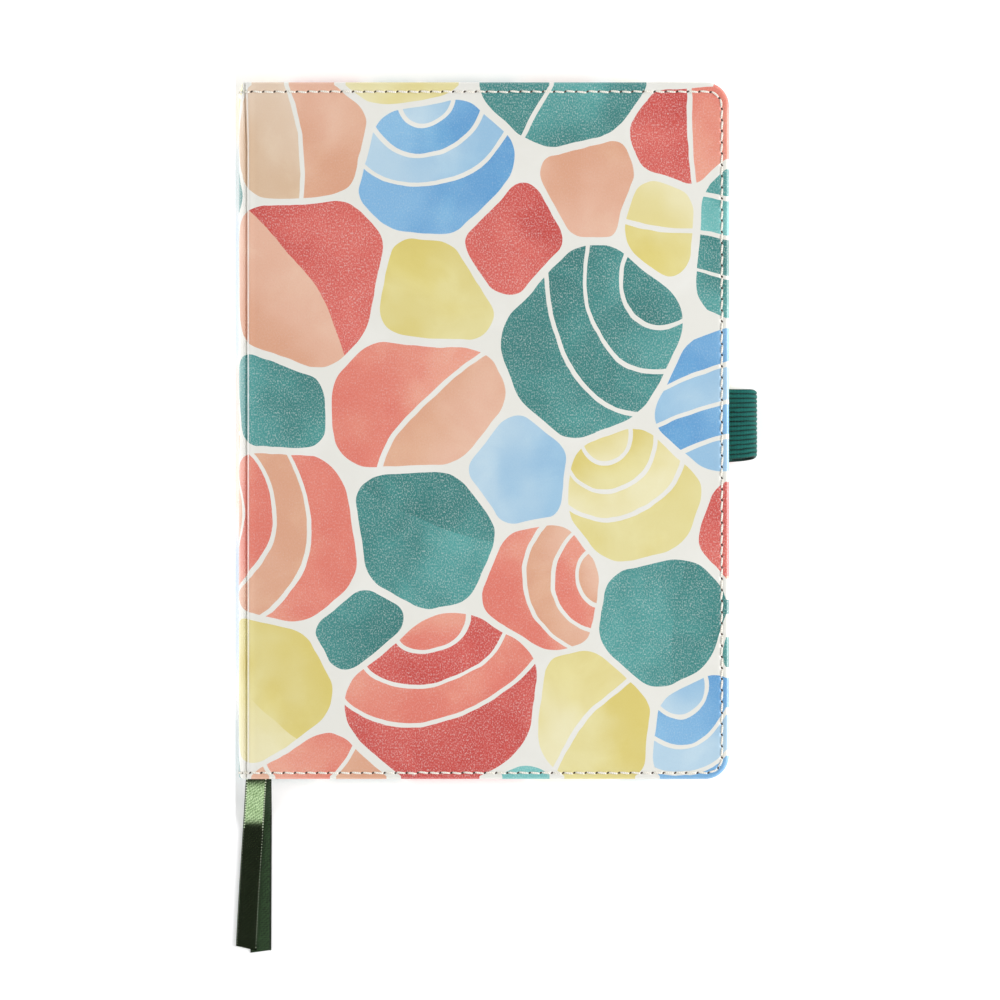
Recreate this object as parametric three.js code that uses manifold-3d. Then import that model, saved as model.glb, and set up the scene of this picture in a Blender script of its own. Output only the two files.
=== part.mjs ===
// Case-bound dot grid journal with a stitched, leather-look cover, an elastic
// pen loop and two ribbon markers.  Millimetres, +Z up.
//
// The closed journal lies on its back cover: spine towards -X, fore edge
// towards +X, head towards +Y, front cover facing +Z.  The origin is under the
// middle of the object, on the plane it lies on.
//
// The text block opens at the fold of its middle signature, so every piece of
// the spine that bends there on the real object (leather, inlay, lining, head
// and tail bands, middle signature) is made as a rear and a front half that
// meet at mid thickness.

import * as THREE from 'three';
import Module from 'manifold-3d';
import { mergeVertices } from 'three/addons/utils/BufferGeometryUtils.js';

// ---------------------------------------------------------------- dimensions
// cover
const COVER_HALF_H = 106.5;      // head and tail edges at +-106.5
const FORE_X = 70.9;             // fore edge of both covers
const COVER_CORNER_R = 7.3;      // rounded fore corners
const SKIN_T = 0.6;              // leather-look skin
const BOARD_T = 1.8;             // grey board
const LINING_T = 0.3;            // inside lining, pasted to the board
const COVER_T = SKIN_T + BOARD_T + LINING_T;

// leaves
const LEAF_T = 0.125;            // 100 g/m2 paper
const LEAVES_PER_SIGNATURE = 8;
const SIGNATURES = 13;
const SIGNATURE_T = LEAF_T * LEAVES_PER_SIGNATURE;
const FLYLEAF_T = 0.15;
const PAGE_HALF_H = 103.0;
const PAGE_SPINE_X = -77.0;
const PAGE_FORE_X = 67.4;
const PAGE_CORNER_R = 6.0;

// thickness
const BLOCK_T = SIGNATURE_T * SIGNATURES;
const THICK = 2 * COVER_T + 2 * FLYLEAF_T + BLOCK_T;   // 18.7
const MID_Z = THICK / 2;                               // opening plane
const BLOCK_Z0 = COVER_T + FLYLEAF_T;                  // 2.85

// spine
const SPINE_X = -79.1;           // apex of the rounded spine
const HINGE_X = -76.8;           // crease between spine and cover
const HINGE_GAP = 3.2;           // leather-only strip between crease and board
const COVER_SPINE_X = HINGE_X + HINGE_GAP;
const SPINE_POWER = 4;           // flatness of the spine's outer curve
const INLAY_T = 0.4;
const MULL_T = 0.3;
const MULL_HALF_H = 96;

// top stitching, inset from the cover's edges
const STITCH_HEAD_IN = 2.9;
const STITCH_FORE_IN = 2.2;
const STITCH_TAIL_IN = 1.9;
const STITCH_CORNER_R = 4.5;
const THREAD_W = 0.8;
const THREAD_T = 0.3;
const STITCH_GROOVE_W = 1.2;
const STITCH_GROOVE_T = 0.35;

// pen loop: one elastic band, its two ends laid together inside the cover
const LOOP_Y0 = -9.4;
const LOOP_Y1 = 12.6;
const LOOP_CX = 75.0;
const LOOP_CZ = 4.6;
const LOOP_RX = 4.1;
const LOOP_RZ = 4.3;
const ELASTIC_T = 0.9;
const TAB_X0 = 57.2;
const TAB_CLEAR = 0.3;

// ribbon markers
const RIBBON_W = 6.0;
const RIBBON_T = 0.25;
const RIBBON_A_X = -73.9;        // middle of the upper marker inside the block
const RIBBON_B_X = -72.9;        // middle of the lower marker inside the block
const RIBBON_GROOVE_T = 0.3;
const TAIL_END_Y = -160.0;

// ------------------------------------------------------------------ materials
const colour = (hex, roughness, metalness = 0) =>
  new THREE.MeshStandardMaterial({ color: hex, roughness, metalness });
const printedLeather = colour(0xefe9dc, 0.5);
const greyBoard = colour(0x9a958a, 0.95);
const liningPaper = colour(0x3f908c, 0.8);
const flyPaper = colour(0xf1ece0, 0.9);
const pagePaper = colour(0xf6f1e4, 0.92);
const threadCream = colour(0xf3ead8, 0.7);
const cardKraft = colour(0xb79f78, 0.9);
const mullCloth = colour(0xe8e3d6, 0.95);
const bandCloth = colour(0x2f6b69, 0.8);
const elasticTeal = colour(0x0f6b60, 0.85);
const satinGreen = colour(0x2f4a2a, 0.35);
const threadWhite = colour(0xf7f4ec, 0.8);

// -------------------------------------------------------------------- helpers
const wasm = await Module();
wasm.setup();

const journal = new THREE.Group();

function add(name, geometry, material) {
  const mesh = new THREE.Mesh(geometry, material);
  mesh.name = name;
  journal.add(mesh);
  return mesh;
}

function solidOf(geometry) {
  const g = geometry.index ? geometry.toNonIndexed() : geometry.clone();
  for (const key of Object.keys(g.attributes)) if (key !== 'position') g.deleteAttribute(key);
  const m = mergeVertices(g, 1e-4);
  return new wasm.Manifold(new wasm.Mesh({
    numProp: 3,
    vertProperties: new Float32Array(m.attributes.position.array),
    triVerts: new Uint32Array(m.index.array),
  }));
}

function geometryOf(solid) {
  const mesh = solid.getMesh();
  const g = new THREE.BufferGeometry();
  const at = new Float32Array(mesh.numVert * 3);
  for (let i = 0; i < mesh.numVert; i++) {
    for (let k = 0; k < 3; k++) at[3 * i + k] = mesh.vertProperties[mesh.numProp * i + k];
  }
  g.setAttribute('position', new THREE.BufferAttribute(at, 3));
  g.setIndex(new THREE.BufferAttribute(new Uint32Array(mesh.triVerts), 1));
  g.computeVertexNormals();
  return g;
}

const cut = (a, ...others) => {
  let solid = solidOf(a);
  for (const b of others) solid = solid.subtract(solidOf(b));
  return geometryOf(solid);
};

// a flat piece: outline square at the spine, rounded at the two fore corners
function leafShape(x0, x1, halfH, r) {
  const s = new THREE.Shape();
  s.moveTo(x0, -halfH);
  s.lineTo(x1 - r, -halfH);
  s.absarc(x1 - r, -halfH + r, r, -Math.PI / 2, 0, false);
  s.lineTo(x1, halfH - r);
  s.absarc(x1 - r, halfH - r, r, 0, Math.PI / 2, false);
  s.lineTo(x0, halfH);
  s.closePath();
  return s;
}

function plate(shape, z0, z1, curveSegments = 10) {
  const g = new THREE.ExtrudeGeometry(shape, { depth: z1 - z0, bevelEnabled: false, curveSegments });
  g.translate(0, 0, z0);
  return g;
}

function box(x0, x1, y0, y1, z0, z1) {
  const g = new THREE.BoxGeometry(x1 - x0, y1 - y0, z1 - z0);
  g.translate((x0 + x1) / 2, (y0 + y1) / 2, (z0 + z1) / 2);
  return g;
}

// a piece with a constant section in the X-Z plane, drawn out along Y
function alongY(points, y0, y1) {
  const s = new THREE.Shape(points.map(([x, z]) => new THREE.Vector2(x, z)));
  const g = new THREE.ExtrudeGeometry(s, { depth: y1 - y0, bevelEnabled: false });
  g.rotateX(Math.PI / 2);          // section y -> z, depth -> -y
  g.translate(0, y1, 0);
  return g;
}

// a piece with a constant section in the Y-Z plane, drawn out along X
function alongX(points, x0, x1) {
  const s = new THREE.Shape(points.map(([y, z]) => new THREE.Vector2(y, z)));
  const g = new THREE.ExtrudeGeometry(s, { depth: x1 - x0, bevelEnabled: false });
  g.rotateX(Math.PI / 2);          // (y, z, depth) -> (y, -depth, z)
  g.rotateZ(Math.PI / 2);          // -> (depth, y, z)
  g.translate(x0, 0, 0);
  return g;
}

// the same piece on the other side of the opening plane
const mirroredZ = (points) => points.map(([x, z]) => [x, THICK - z]).reverse();

// --------------------------------------------------------------- text block
const pageShape = leafShape(PAGE_SPINE_X, PAGE_FORE_X, PAGE_HALF_H, PAGE_CORNER_R);
const two = (n) => String(n).padStart(2, '0');

// signature 1 is at the front; z of the top of signature n
const signatureTop = (n) => BLOCK_Z0 + BLOCK_T - (n - 1) * SIGNATURE_T;
const middle = (SIGNATURES + 1) / 2;

const grooveA = box(PAGE_SPINE_X - 1, RIBBON_A_X + RIBBON_W / 2 + 0.4, -PAGE_HALF_H - 1, PAGE_HALF_H + 1,
  MID_Z - RIBBON_GROOVE_T, MID_Z + 1);
const markedB = middle + 3;      // the lower marker lies on this signature
const grooveB = box(PAGE_SPINE_X - 1, RIBBON_B_X + RIBBON_W / 2 + 0.4, -PAGE_HALF_H - 1, PAGE_HALF_H + 1,
  signatureTop(markedB) - RIBBON_GROOVE_T, signatureTop(markedB) + 1);
const THREAD_NOTCH = 0.5;
const threadNotch = box(PAGE_SPINE_X - 1, PAGE_SPINE_X + 0.7, -82, 82, MID_Z - 1, MID_Z + 0.3);

for (let n = 1; n <= SIGNATURES; n++) {
  const top = signatureTop(n);
  if (n === middle) {
    add('signature_' + two(n) + '_front_leaves',
      cut(plate(pageShape, MID_Z, top), threadNotch), pagePaper);
    add('signature_' + two(n) + '_rear_leaves',
      cut(plate(pageShape, top - SIGNATURE_T, MID_Z), grooveA), pagePaper);
  } else if (n === markedB) {
    add('signature_' + two(n), cut(plate(pageShape, top - SIGNATURE_T, top), grooveB), pagePaper);
  } else {
    add('signature_' + two(n), plate(pageShape, top - SIGNATURE_T, top), pagePaper);
  }
}

// sewing thread in the fold of the middle signature
add('centre_sewing_thread',
  box(PAGE_SPINE_X + 0.05, PAGE_SPINE_X + 0.05 + THREAD_NOTCH, -81.5, 81.5, MID_Z + 0.02, MID_Z + 0.27), threadWhite);

// flyleaves
const flyShape = leafShape(PAGE_SPINE_X + 0.1, PAGE_FORE_X, PAGE_HALF_H, PAGE_CORNER_R);
add('back_flyleaf', plate(flyShape, COVER_T, COVER_T + FLYLEAF_T), flyPaper);
add('front_flyleaf', plate(flyShape, THICK - COVER_T - FLYLEAF_T, THICK - COVER_T), flyPaper);

// ------------------------------------------------------------------- covers
const skinShape = leafShape(COVER_SPINE_X, FORE_X, COVER_HALF_H, COVER_CORNER_R);
const boardShape = leafShape(COVER_SPINE_X, FORE_X - SKIN_T, COVER_HALF_H - SKIN_T, COVER_CORNER_R - SKIN_T);
const hollowShape = leafShape(COVER_SPINE_X - 2, FORE_X - SKIN_T, COVER_HALF_H - SKIN_T, COVER_CORNER_R - SKIN_T);

// the stitch line runs along the head, the fore edge and the tail
function stitchShape(width, xStart) {
  const yT = COVER_HALF_H - STITCH_HEAD_IN;
  const yB = -COVER_HALF_H + STITCH_TAIL_IN;
  const xR = FORE_X - STITCH_FORE_IN;
  const h = width / 2;
  const rOut = STITCH_CORNER_R + h;
  const rIn = STITCH_CORNER_R - h;
  const cx = xR - STITCH_CORNER_R;
  const cyT = yT - STITCH_CORNER_R;
  const cyB = yB + STITCH_CORNER_R;
  const s = new THREE.Shape();
  s.moveTo(xStart, yB - h);
  s.lineTo(cx, yB - h);
  s.absarc(cx, cyB, rOut, -Math.PI / 2, 0, false);
  s.lineTo(xR + h, cyT);
  s.absarc(cx, cyT, rOut, 0, Math.PI / 2, false);
  s.lineTo(xStart, yT + h);
  s.lineTo(xStart, yT - h);
  s.lineTo(cx, yT - h);
  s.absarc(cx, cyT, rIn, Math.PI / 2, 0, true);
  s.lineTo(xR - h, cyB);
  s.absarc(cx, cyB, rIn, 0, -Math.PI / 2, true);
  s.lineTo(xStart, yB + h);
  s.closePath();
  return s;
}
const threadShape = stitchShape(THREAD_W, COVER_SPINE_X + 0.3);
const grooveShape = stitchShape(STITCH_GROOVE_W, COVER_SPINE_X - 2);

// back cover: skin tray opening upwards, with a notch in its rim for the tab
const tabSlot = box(TAB_X0 - TAB_CLEAR, FORE_X + 1, LOOP_Y0 - TAB_CLEAR, LOOP_Y1 + TAB_CLEAR, SKIN_T, COVER_T + 1);
add('back_cover_skin', cut(
  plate(skinShape, 0, COVER_T),
  plate(hollowShape, SKIN_T, COVER_T + 1),
  tabSlot,
  plate(grooveShape, -1, STITCH_GROOVE_T, 6),
), printedLeather);
add('back_board', cut(
  plate(boardShape, SKIN_T, SKIN_T + BOARD_T),
  box(TAB_X0 - TAB_CLEAR, FORE_X + 1, LOOP_Y0 - TAB_CLEAR, LOOP_Y1 + TAB_CLEAR, SKIN_T - 1, SKIN_T + BOARD_T + 1),
), greyBoard);
add('back_cover_lining', plate(boardShape, SKIN_T + BOARD_T, COVER_T), liningPaper);
add('back_cover_stitching', plate(threadShape, 0, THREAD_T, 6), threadCream);

// front cover: the same, opening downwards
add('front_cover_skin', cut(
  plate(skinShape, THICK - COVER_T, THICK),
  plate(hollowShape, THICK - COVER_T - 1, THICK - SKIN_T),
  plate(grooveShape, THICK - STITCH_GROOVE_T, THICK + 1, 6),
), printedLeather);
add('front_board', plate(boardShape, THICK - SKIN_T - BOARD_T, THICK - SKIN_T), greyBoard);
add('front_cover_lining', plate(boardShape, THICK - COVER_T, THICK - SKIN_T - BOARD_T), liningPaper);
add('front_cover_stitching', plate(threadShape, THICK - THREAD_T, THICK, 6), threadCream);

// -------------------------------------------------------------------- spine
// outer curve of the spine: x at height z, apex at mid thickness
const spineOuter = (z, inset = 0) => {
  const half = MID_Z - inset;
  const u = Math.min(1, Math.abs(z - MID_Z) / half);
  const apex = SPINE_X + inset;
  return apex + (HINGE_X - apex) * Math.pow(u, SPINE_POWER);
};
function spineHalf(insetOut, insetIn, zTop, steps = 12) {
  const points = [];
  const halfOut = Math.min(MID_Z - insetOut, zTop - MID_Z);
  const halfIn = Math.min(MID_Z - insetIn, zTop - MID_Z);
  for (let i = 0; i <= steps; i++) {
    const z = MID_Z + halfIn * Math.sin((i / steps) * Math.PI / 2);
    points.push([spineOuter(z, insetIn), z]);
  }
  for (let i = steps; i >= 0; i--) {
    const z = MID_Z + halfOut * Math.sin((i / steps) * Math.PI / 2);
    points.push([spineOuter(z, insetOut), z]);
  }
  return points;
}
const skinHalf = spineHalf(0, SKIN_T, THICK);
add('spine_skin_front', alongY(skinHalf, -COVER_HALF_H, COVER_HALF_H), printedLeather);
add('spine_skin_rear', alongY(mirroredZ(skinHalf), -COVER_HALF_H, COVER_HALF_H), printedLeather);

// leather-only strips over the two joints
add('front_joint_skin', box(HINGE_X, COVER_SPINE_X, -COVER_HALF_H, COVER_HALF_H, THICK - SKIN_T, THICK), printedLeather);
add('back_joint_skin', box(HINGE_X, COVER_SPINE_X, -COVER_HALF_H, COVER_HALF_H, 0, SKIN_T), printedLeather);

// card inlay behind the leather
const inlayHalf = spineHalf(SKIN_T + 0.05, SKIN_T + 0.05 + INLAY_T, MID_Z + 6.6, 8);
add('spine_inlay_front', alongY(inlayHalf, -COVER_HALF_H + 1.5, COVER_HALF_H - 1.5), cardKraft);
add('spine_inlay_rear', alongY(mirroredZ(inlayHalf), -COVER_HALF_H + 1.5, COVER_HALF_H - 1.5), cardKraft);

// woven lining glued to the folds of the signatures
add('spine_lining_front', box(PAGE_SPINE_X - MULL_T, PAGE_SPINE_X, -MULL_HALF_H, MULL_HALF_H,
  MID_Z, BLOCK_Z0 + BLOCK_T), mullCloth);
add('spine_lining_rear', box(PAGE_SPINE_X - MULL_T, PAGE_SPINE_X, -MULL_HALF_H, MULL_HALF_H,
  BLOCK_Z0, MID_Z), mullCloth);

// head and tail bands
const BAND_X0 = PAGE_SPINE_X - 0.6;
const BAND_X1 = PAGE_SPINE_X + 0.9;
const BAND_Y = 0.9;
add('headband_front', box(BAND_X0, BAND_X1, PAGE_HALF_H, PAGE_HALF_H + BAND_Y, MID_Z, MID_Z + 6.2), bandCloth);
add('headband_rear', box(BAND_X0, BAND_X1, PAGE_HALF_H, PAGE_HALF_H + BAND_Y, MID_Z - 6.2, MID_Z), bandCloth);
add('tailband_front', box(BAND_X0, BAND_X1, -PAGE_HALF_H - BAND_Y, -PAGE_HALF_H, MID_Z, MID_Z + 6.2), bandCloth);
add('tailband_rear', box(BAND_X0, BAND_X1, -PAGE_HALF_H - BAND_Y, -PAGE_HALF_H, MID_Z - 6.2, MID_Z - 0.45), bandCloth);

// ----------------------------------------------------------------- pen loop
function ellipse(cx, cz, rx, rz, n) {
  const points = [];
  for (let i = 0; i < n; i++) {
    const a = (2 * Math.PI * i) / n;
    points.push([cx + rx * Math.cos(a), cz + rz * Math.sin(a)]);
  }
  return points;
}
{
  const ring = alongY(ellipse(LOOP_CX, LOOP_CZ, LOOP_RX, LOOP_RZ, 32), LOOP_Y0, LOOP_Y1);
  const tab = box(TAB_X0, LOOP_CX - 1.4, LOOP_Y0, LOOP_Y1, SKIN_T, SKIN_T + BOARD_T);
  const hole = alongY(ellipse(LOOP_CX, LOOP_CZ, LOOP_RX - ELASTIC_T, LOOP_RZ - ELASTIC_T, 32), LOOP_Y0 - 1, LOOP_Y1 + 1);
  add('pen_loop', geometryOf(solidOf(ring).add(solidOf(tab)).subtract(solidOf(hole))), elasticTeal);
}

// ----------------------------------------------------------- ribbon markers
add('ribbon_upper_inner', box(RIBBON_A_X - RIBBON_W / 2, RIBBON_A_X + RIBBON_W / 2, -PAGE_HALF_H, PAGE_HALF_H,
  MID_Z - 0.28, MID_Z - 0.28 + RIBBON_T), satinGreen);
const lowerTop = signatureTop(markedB);
add('ribbon_lower_inner', box(RIBBON_B_X - RIBBON_W / 2, RIBBON_B_X + RIBBON_W / 2, -PAGE_HALF_H, PAGE_HALF_H,
  lowerTop - 0.28, lowerTop - 0.28 + RIBBON_T), satinGreen);

// a free tail leaves the block level, falls in an S of two arcs and then lies
// on the surface under the journal: [y, z] of its middle line
function tailLine(zOut, zLie, yFall0, yFall1, yEnd) {
  const points = [[-PAGE_HALF_H - 0.3, zOut]];
  const steps = 10;
  for (let i = 0; i <= steps; i++) {
    const u = i / steps;
    const s = u * u * (3 - 2 * u);
    points.push([yFall0 + (yFall1 - yFall0) * u, zOut + (zLie - zOut) * s]);
  }
  points.push([(yFall1 + yEnd) / 2, zLie], [yEnd, zLie]);
  return points;
}
function bandOutline(line, t) {
  const left = [];
  const right = [];
  for (let i = 0; i < line.length; i++) {
    const a = line[Math.max(0, i - 1)];
    const b = line[Math.min(line.length - 1, i + 1)];
    const l = Math.hypot(b[0] - a[0], b[1] - a[1]);
    const n = [-(b[1] - a[1]) / l, (b[0] - a[0]) / l];
    left.push([line[i][0] + n[0] * t / 2, line[i][1] + n[1] * t / 2]);
    right.push([line[i][0] - n[0] * t / 2, line[i][1] - n[1] * t / 2]);
  }
  return left.concat(right.reverse());
}
function tail(line, xExit, xEnd) {
  const g = alongX(bandOutline(line, RIBBON_T), -RIBBON_W / 2, RIBBON_W / 2);
  const y0 = line[0][0];
  const slope = (xEnd - xExit) / (line[line.length - 1][0] - y0);
  const p = g.attributes.position;
  for (let i = 0; i < p.count; i++) p.setX(i, p.getX(i) + xExit + slope * (p.getY(i) - y0));
  g.computeVertexNormals();
  return g;
}
add('ribbon_upper_tail', tail(tailLine(MID_Z - 0.28 + RIBBON_T / 2, 0.62, -104.5, -123.0, TAIL_END_Y + 1.0),
  RIBBON_A_X, -77.3), satinGreen);
add('ribbon_lower_tail', tail(tailLine(lowerTop - 0.28 + RIBBON_T / 2, 0.2, -104.5, -119.5, TAIL_END_Y),
  RIBBON_B_X, -73.7), satinGreen);

export default journal;
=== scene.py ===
"""Looks of a case-bound dot grid journal: printed leather-look cover with stitched
edges, elastic pen loop and two satin ribbon markers.

Lengths are in millimetres up to the point where a mesh is made.  +X runs from
the spine to the fore edge, +Y to the head, +Z out of the front cover.  The
cover is one sheet: u runs along it from the middle of the spine, towards the
front cover where it is positive, and y runs from tail to head.
"""

import math

import bpy
import numpy as np
from mathutils.geometry import delaunay_2d_cdt
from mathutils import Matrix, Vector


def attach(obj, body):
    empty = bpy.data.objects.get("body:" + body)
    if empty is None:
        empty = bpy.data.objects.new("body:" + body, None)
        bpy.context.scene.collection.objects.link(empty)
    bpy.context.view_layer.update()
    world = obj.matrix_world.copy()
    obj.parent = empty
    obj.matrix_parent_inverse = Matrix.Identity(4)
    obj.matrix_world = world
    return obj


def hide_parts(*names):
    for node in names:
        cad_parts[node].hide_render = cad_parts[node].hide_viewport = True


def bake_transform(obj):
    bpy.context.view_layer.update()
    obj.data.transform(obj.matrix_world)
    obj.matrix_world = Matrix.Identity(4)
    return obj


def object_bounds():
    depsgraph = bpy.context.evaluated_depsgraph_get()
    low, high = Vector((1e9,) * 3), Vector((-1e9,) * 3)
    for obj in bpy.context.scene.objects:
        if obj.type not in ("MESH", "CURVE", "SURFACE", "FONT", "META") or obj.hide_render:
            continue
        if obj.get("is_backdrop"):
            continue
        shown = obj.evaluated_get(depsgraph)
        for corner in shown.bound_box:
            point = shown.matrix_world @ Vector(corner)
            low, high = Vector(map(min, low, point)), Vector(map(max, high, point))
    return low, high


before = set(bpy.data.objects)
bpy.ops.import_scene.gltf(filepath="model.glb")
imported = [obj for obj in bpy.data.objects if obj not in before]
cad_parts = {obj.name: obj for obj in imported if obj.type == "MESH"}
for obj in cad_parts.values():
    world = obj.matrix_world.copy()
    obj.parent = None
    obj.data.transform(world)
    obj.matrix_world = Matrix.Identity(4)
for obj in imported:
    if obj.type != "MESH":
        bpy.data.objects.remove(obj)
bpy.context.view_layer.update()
scene = bpy.context.scene

# ------------------------------------------------------------------ dimensions
HALF_H = 106.5
FORE_X = 70.9
COVER_SPINE_X = -73.6
HINGE_X = -76.8
SPINE_X = -79.1
THICK = 18.7
MID = THICK / 2
COVER_T = 2.7
PAGE_X0, PAGE_X1, PAGE_H, PAGE_R = -77.0, 67.4, 103.0, 6.0
BLOCK_TOP = 15.85
LEAF_T = 0.125
RIM_R = 0.9
CORNER_R = 7.3

# ---------------------------------------------------------------------- camera
DISTANCE = 3.0
camera = bpy.data.objects.new("camera", bpy.data.cameras.new("camera"))
camera.data.sensor_width = 36.0
camera.data.lens = 36.0 * DISTANCE / 0.3056
camera.data.clip_start, camera.data.clip_end = 0.1, 30.0
camera.location = (0.00092, -0.0212, THICK / 1000 + DISTANCE)
scene.collection.objects.link(camera)
scene.camera = camera


# --------------------------------------------------------------------- helpers
def lin(code):
    """A #rrggbb colour as linear numbers."""
    c = [int(code[i : i + 2], 16) / 255 for i in (1, 3, 5)]
    return np.array([v / 12.92 if v <= 0.04045 else ((v + 0.055) / 1.055) ** 2.4 for v in c])


LATTICE = np.random.default_rng(11).random((64, 64))


def noise2(x, y):
    """Smooth noise from 0 to 1 on a unit lattice."""
    x, y = np.asarray(x, float), np.asarray(y, float)
    xi, yi = np.floor(x).astype(int), np.floor(y).astype(int)
    fx, fy = x - xi, y - yi
    fx, fy = fx * fx * (3 - 2 * fx), fy * fy * (3 - 2 * fy)
    a, b = LATTICE[xi % 64, yi % 64], LATTICE[(xi + 1) % 64, yi % 64]
    c, d = LATTICE[xi % 64, (yi + 1) % 64], LATTICE[(xi + 1) % 64, (yi + 1) % 64]
    return (a * (1 - fx) + b * fx) * (1 - fy) + (c * (1 - fx) + d * fx) * fy


def smooth(t):
    t = np.clip(t, 0, 1)
    return t * t * (3 - 2 * t)


class Builder:
    """Gathers vertices (mm), faces and point attributes of one piece."""

    def __init__(self):
        self.v, self.f, self.a = [], [], {}
        self.n = 0

    def add(self, verts, faces, **attributes):
        verts = np.asarray(verts, float).reshape(-1, 3)
        base = self.n
        self.v.append(verts)
        self.f.extend([tuple(int(i) + base for i in face) for face in faces])
        for key, value in attributes.items():
            value = np.asarray(value, float)
            if value.ndim <= 1 and value.size == 1:
                value = np.full(len(verts), float(value))
            self.a.setdefault(key, []).append((base, value))
        self.n += len(verts)
        return base

    def make(self, name, material, body=None, smooth_angle=35.0, slot=None, replaces=(), flat=False):
        v = np.concatenate(self.v) if self.v else np.zeros((0, 3))
        mesh = bpy.data.meshes.new(name)
        mesh.from_pydata((v / 1000).tolist(), [], self.f)
        for key, parts in self.a.items():
            width = 3 if parts[0][1].ndim == 2 else 1
            full = np.zeros((len(v), width))
            for base, value in parts:
                full[base : base + len(value)] = value.reshape(len(value), width)
            kind = "FLOAT_VECTOR" if width == 3 else "FLOAT"
            attribute = mesh.attributes.new(key, kind, "POINT")
            attribute.data.foreach_set("vector" if width == 3 else "value", full.astype(np.float32).ravel())
        mesh.update()
        mesh.polygons.foreach_set("use_smooth", [not flat] * len(mesh.polygons))
        if not flat:
            mesh.set_sharp_from_angle(angle=math.radians(smooth_angle))
        mesh.materials.append(material)
        obj = bpy.data.objects.new(name, mesh)
        scene.collection.objects.link(obj)
        if body:
            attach(obj, body)
        if replaces:
            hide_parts(*replaces)
        return obj


def grid_faces(rows, columns, base=0, closed=False, flip=False):
    """Quads between rows of vertices; closed joins the last column to the first."""
    faces = []
    last = columns if closed else columns - 1
    for i in range(rows - 1):
        for j in range(last):
            k = (j + 1) % columns
            q = (base + i * columns + j, base + i * columns + k, base + (i + 1) * columns + k, base + (i + 1) * columns + j)
            faces.append(q[::-1] if flip else q)
    return faces


def blend(obj):
    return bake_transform(obj)


# ------------------------------------------------------------------- materials
class Nodes:
    """A short way to write a shader."""

    def __init__(self, name):
        self.material = bpy.data.materials.new(name)
        self.material.use_nodes = True
        self.tree = self.material.node_tree
        self.shader = self.tree.nodes["Principled BSDF"]

    def set(self, **values):
        for key, value in values.items():
            socket = self.shader.inputs[key.replace("_", " ")]
            socket.default_value = (*value, 1.0) if isinstance(value, (tuple, list, np.ndarray)) and len(value) == 3 else value
        return self

    def link(self, a, b):
        self.tree.links.new(a, b)

    def new(self, kind, **settings):
        node = self.tree.nodes.new(kind)
        for key, value in settings.items():
            setattr(node, key, value)
        return node

    def attribute(self, name):
        return self.new("ShaderNodeAttribute", attribute_name=name)

    def put(self, socket, value):
        if hasattr(value, "is_output"):
            self.link(value, socket)
        else:
            socket.default_value = value

    def math(self, operation, a, b=0.0, c=0.0, clamp=False):
        node = self.new("ShaderNodeMath", operation=operation, use_clamp=clamp)
        for socket, value in zip(node.inputs, (a, b, c)):
            self.put(socket, value)
        return node.outputs[0]

    def vector(self, operation, a, b=(0, 0, 0)):
        node = self.new("ShaderNodeVectorMath", operation=operation)
        self.put(node.inputs[0], a)
        self.put(node.inputs[1], b)
        return node.outputs[0]

    def split(self, vector):
        node = self.new("ShaderNodeSeparateXYZ")
        self.link(vector, node.inputs[0])
        return node.outputs

    def join(self, x, y, z):
        node = self.new("ShaderNodeCombineXYZ")
        for socket, value in zip(node.inputs, (x, y, z)):
            self.put(socket, value)
        return node.outputs[0]

    def noise(self, vector, scale, detail=2.0, roughness=0.5, distortion=0.0):
        node = self.new("ShaderNodeTexNoise")
        self.link(vector, node.inputs["Vector"])
        node.inputs["Scale"].default_value = scale
        node.inputs["Detail"].default_value = detail
        node.inputs["Roughness"].default_value = roughness
        node.inputs["Distortion"].default_value = distortion
        return node.outputs["Fac"]

    def ramp(self, value, low, high, a=0.0, b=1.0):
        node = self.new("ShaderNodeMapRange", clamp=True)
        self.put(node.inputs[0], value)
        for socket, number in zip(node.inputs[1:5], (low, high, a, b)):
            socket.default_value = number
        return node.outputs[0]

    def mix(self, factor, a, b, blend_type="MIX"):
        node = self.new("ShaderNodeMix", data_type="RGBA", blend_type=blend_type)
        self.put(node.inputs[0], factor)
        for socket, value in ((node.inputs[6], a), (node.inputs[7], b)):
            if hasattr(value, "is_output"):
                self.link(value, socket)
            else:
                socket.default_value = (*value, 1.0)
        return node.outputs[2]

    def bump(self, height, strength, distance):
        node = self.new("ShaderNodeBump")
        self.link(height, node.inputs["Height"])
        node.inputs["Strength"].default_value = strength
        node.inputs["Distance"].default_value = distance
        self.link(node.outputs[0], self.shader.inputs["Normal"])
        return node

    def colour(self, socket):
        self.link(socket, self.shader.inputs["Base Color"])

    def roughness(self, socket):
        self.link(socket, self.shader.inputs["Roughness"])


def position_mm(n):
    """Place on the piece at rest, in millimetres."""
    coordinates = n.new("ShaderNodeTexCoord")
    return n.vector("MULTIPLY", coordinates.outputs["Object"], (1000.0, 1000.0, 1000.0))


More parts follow.
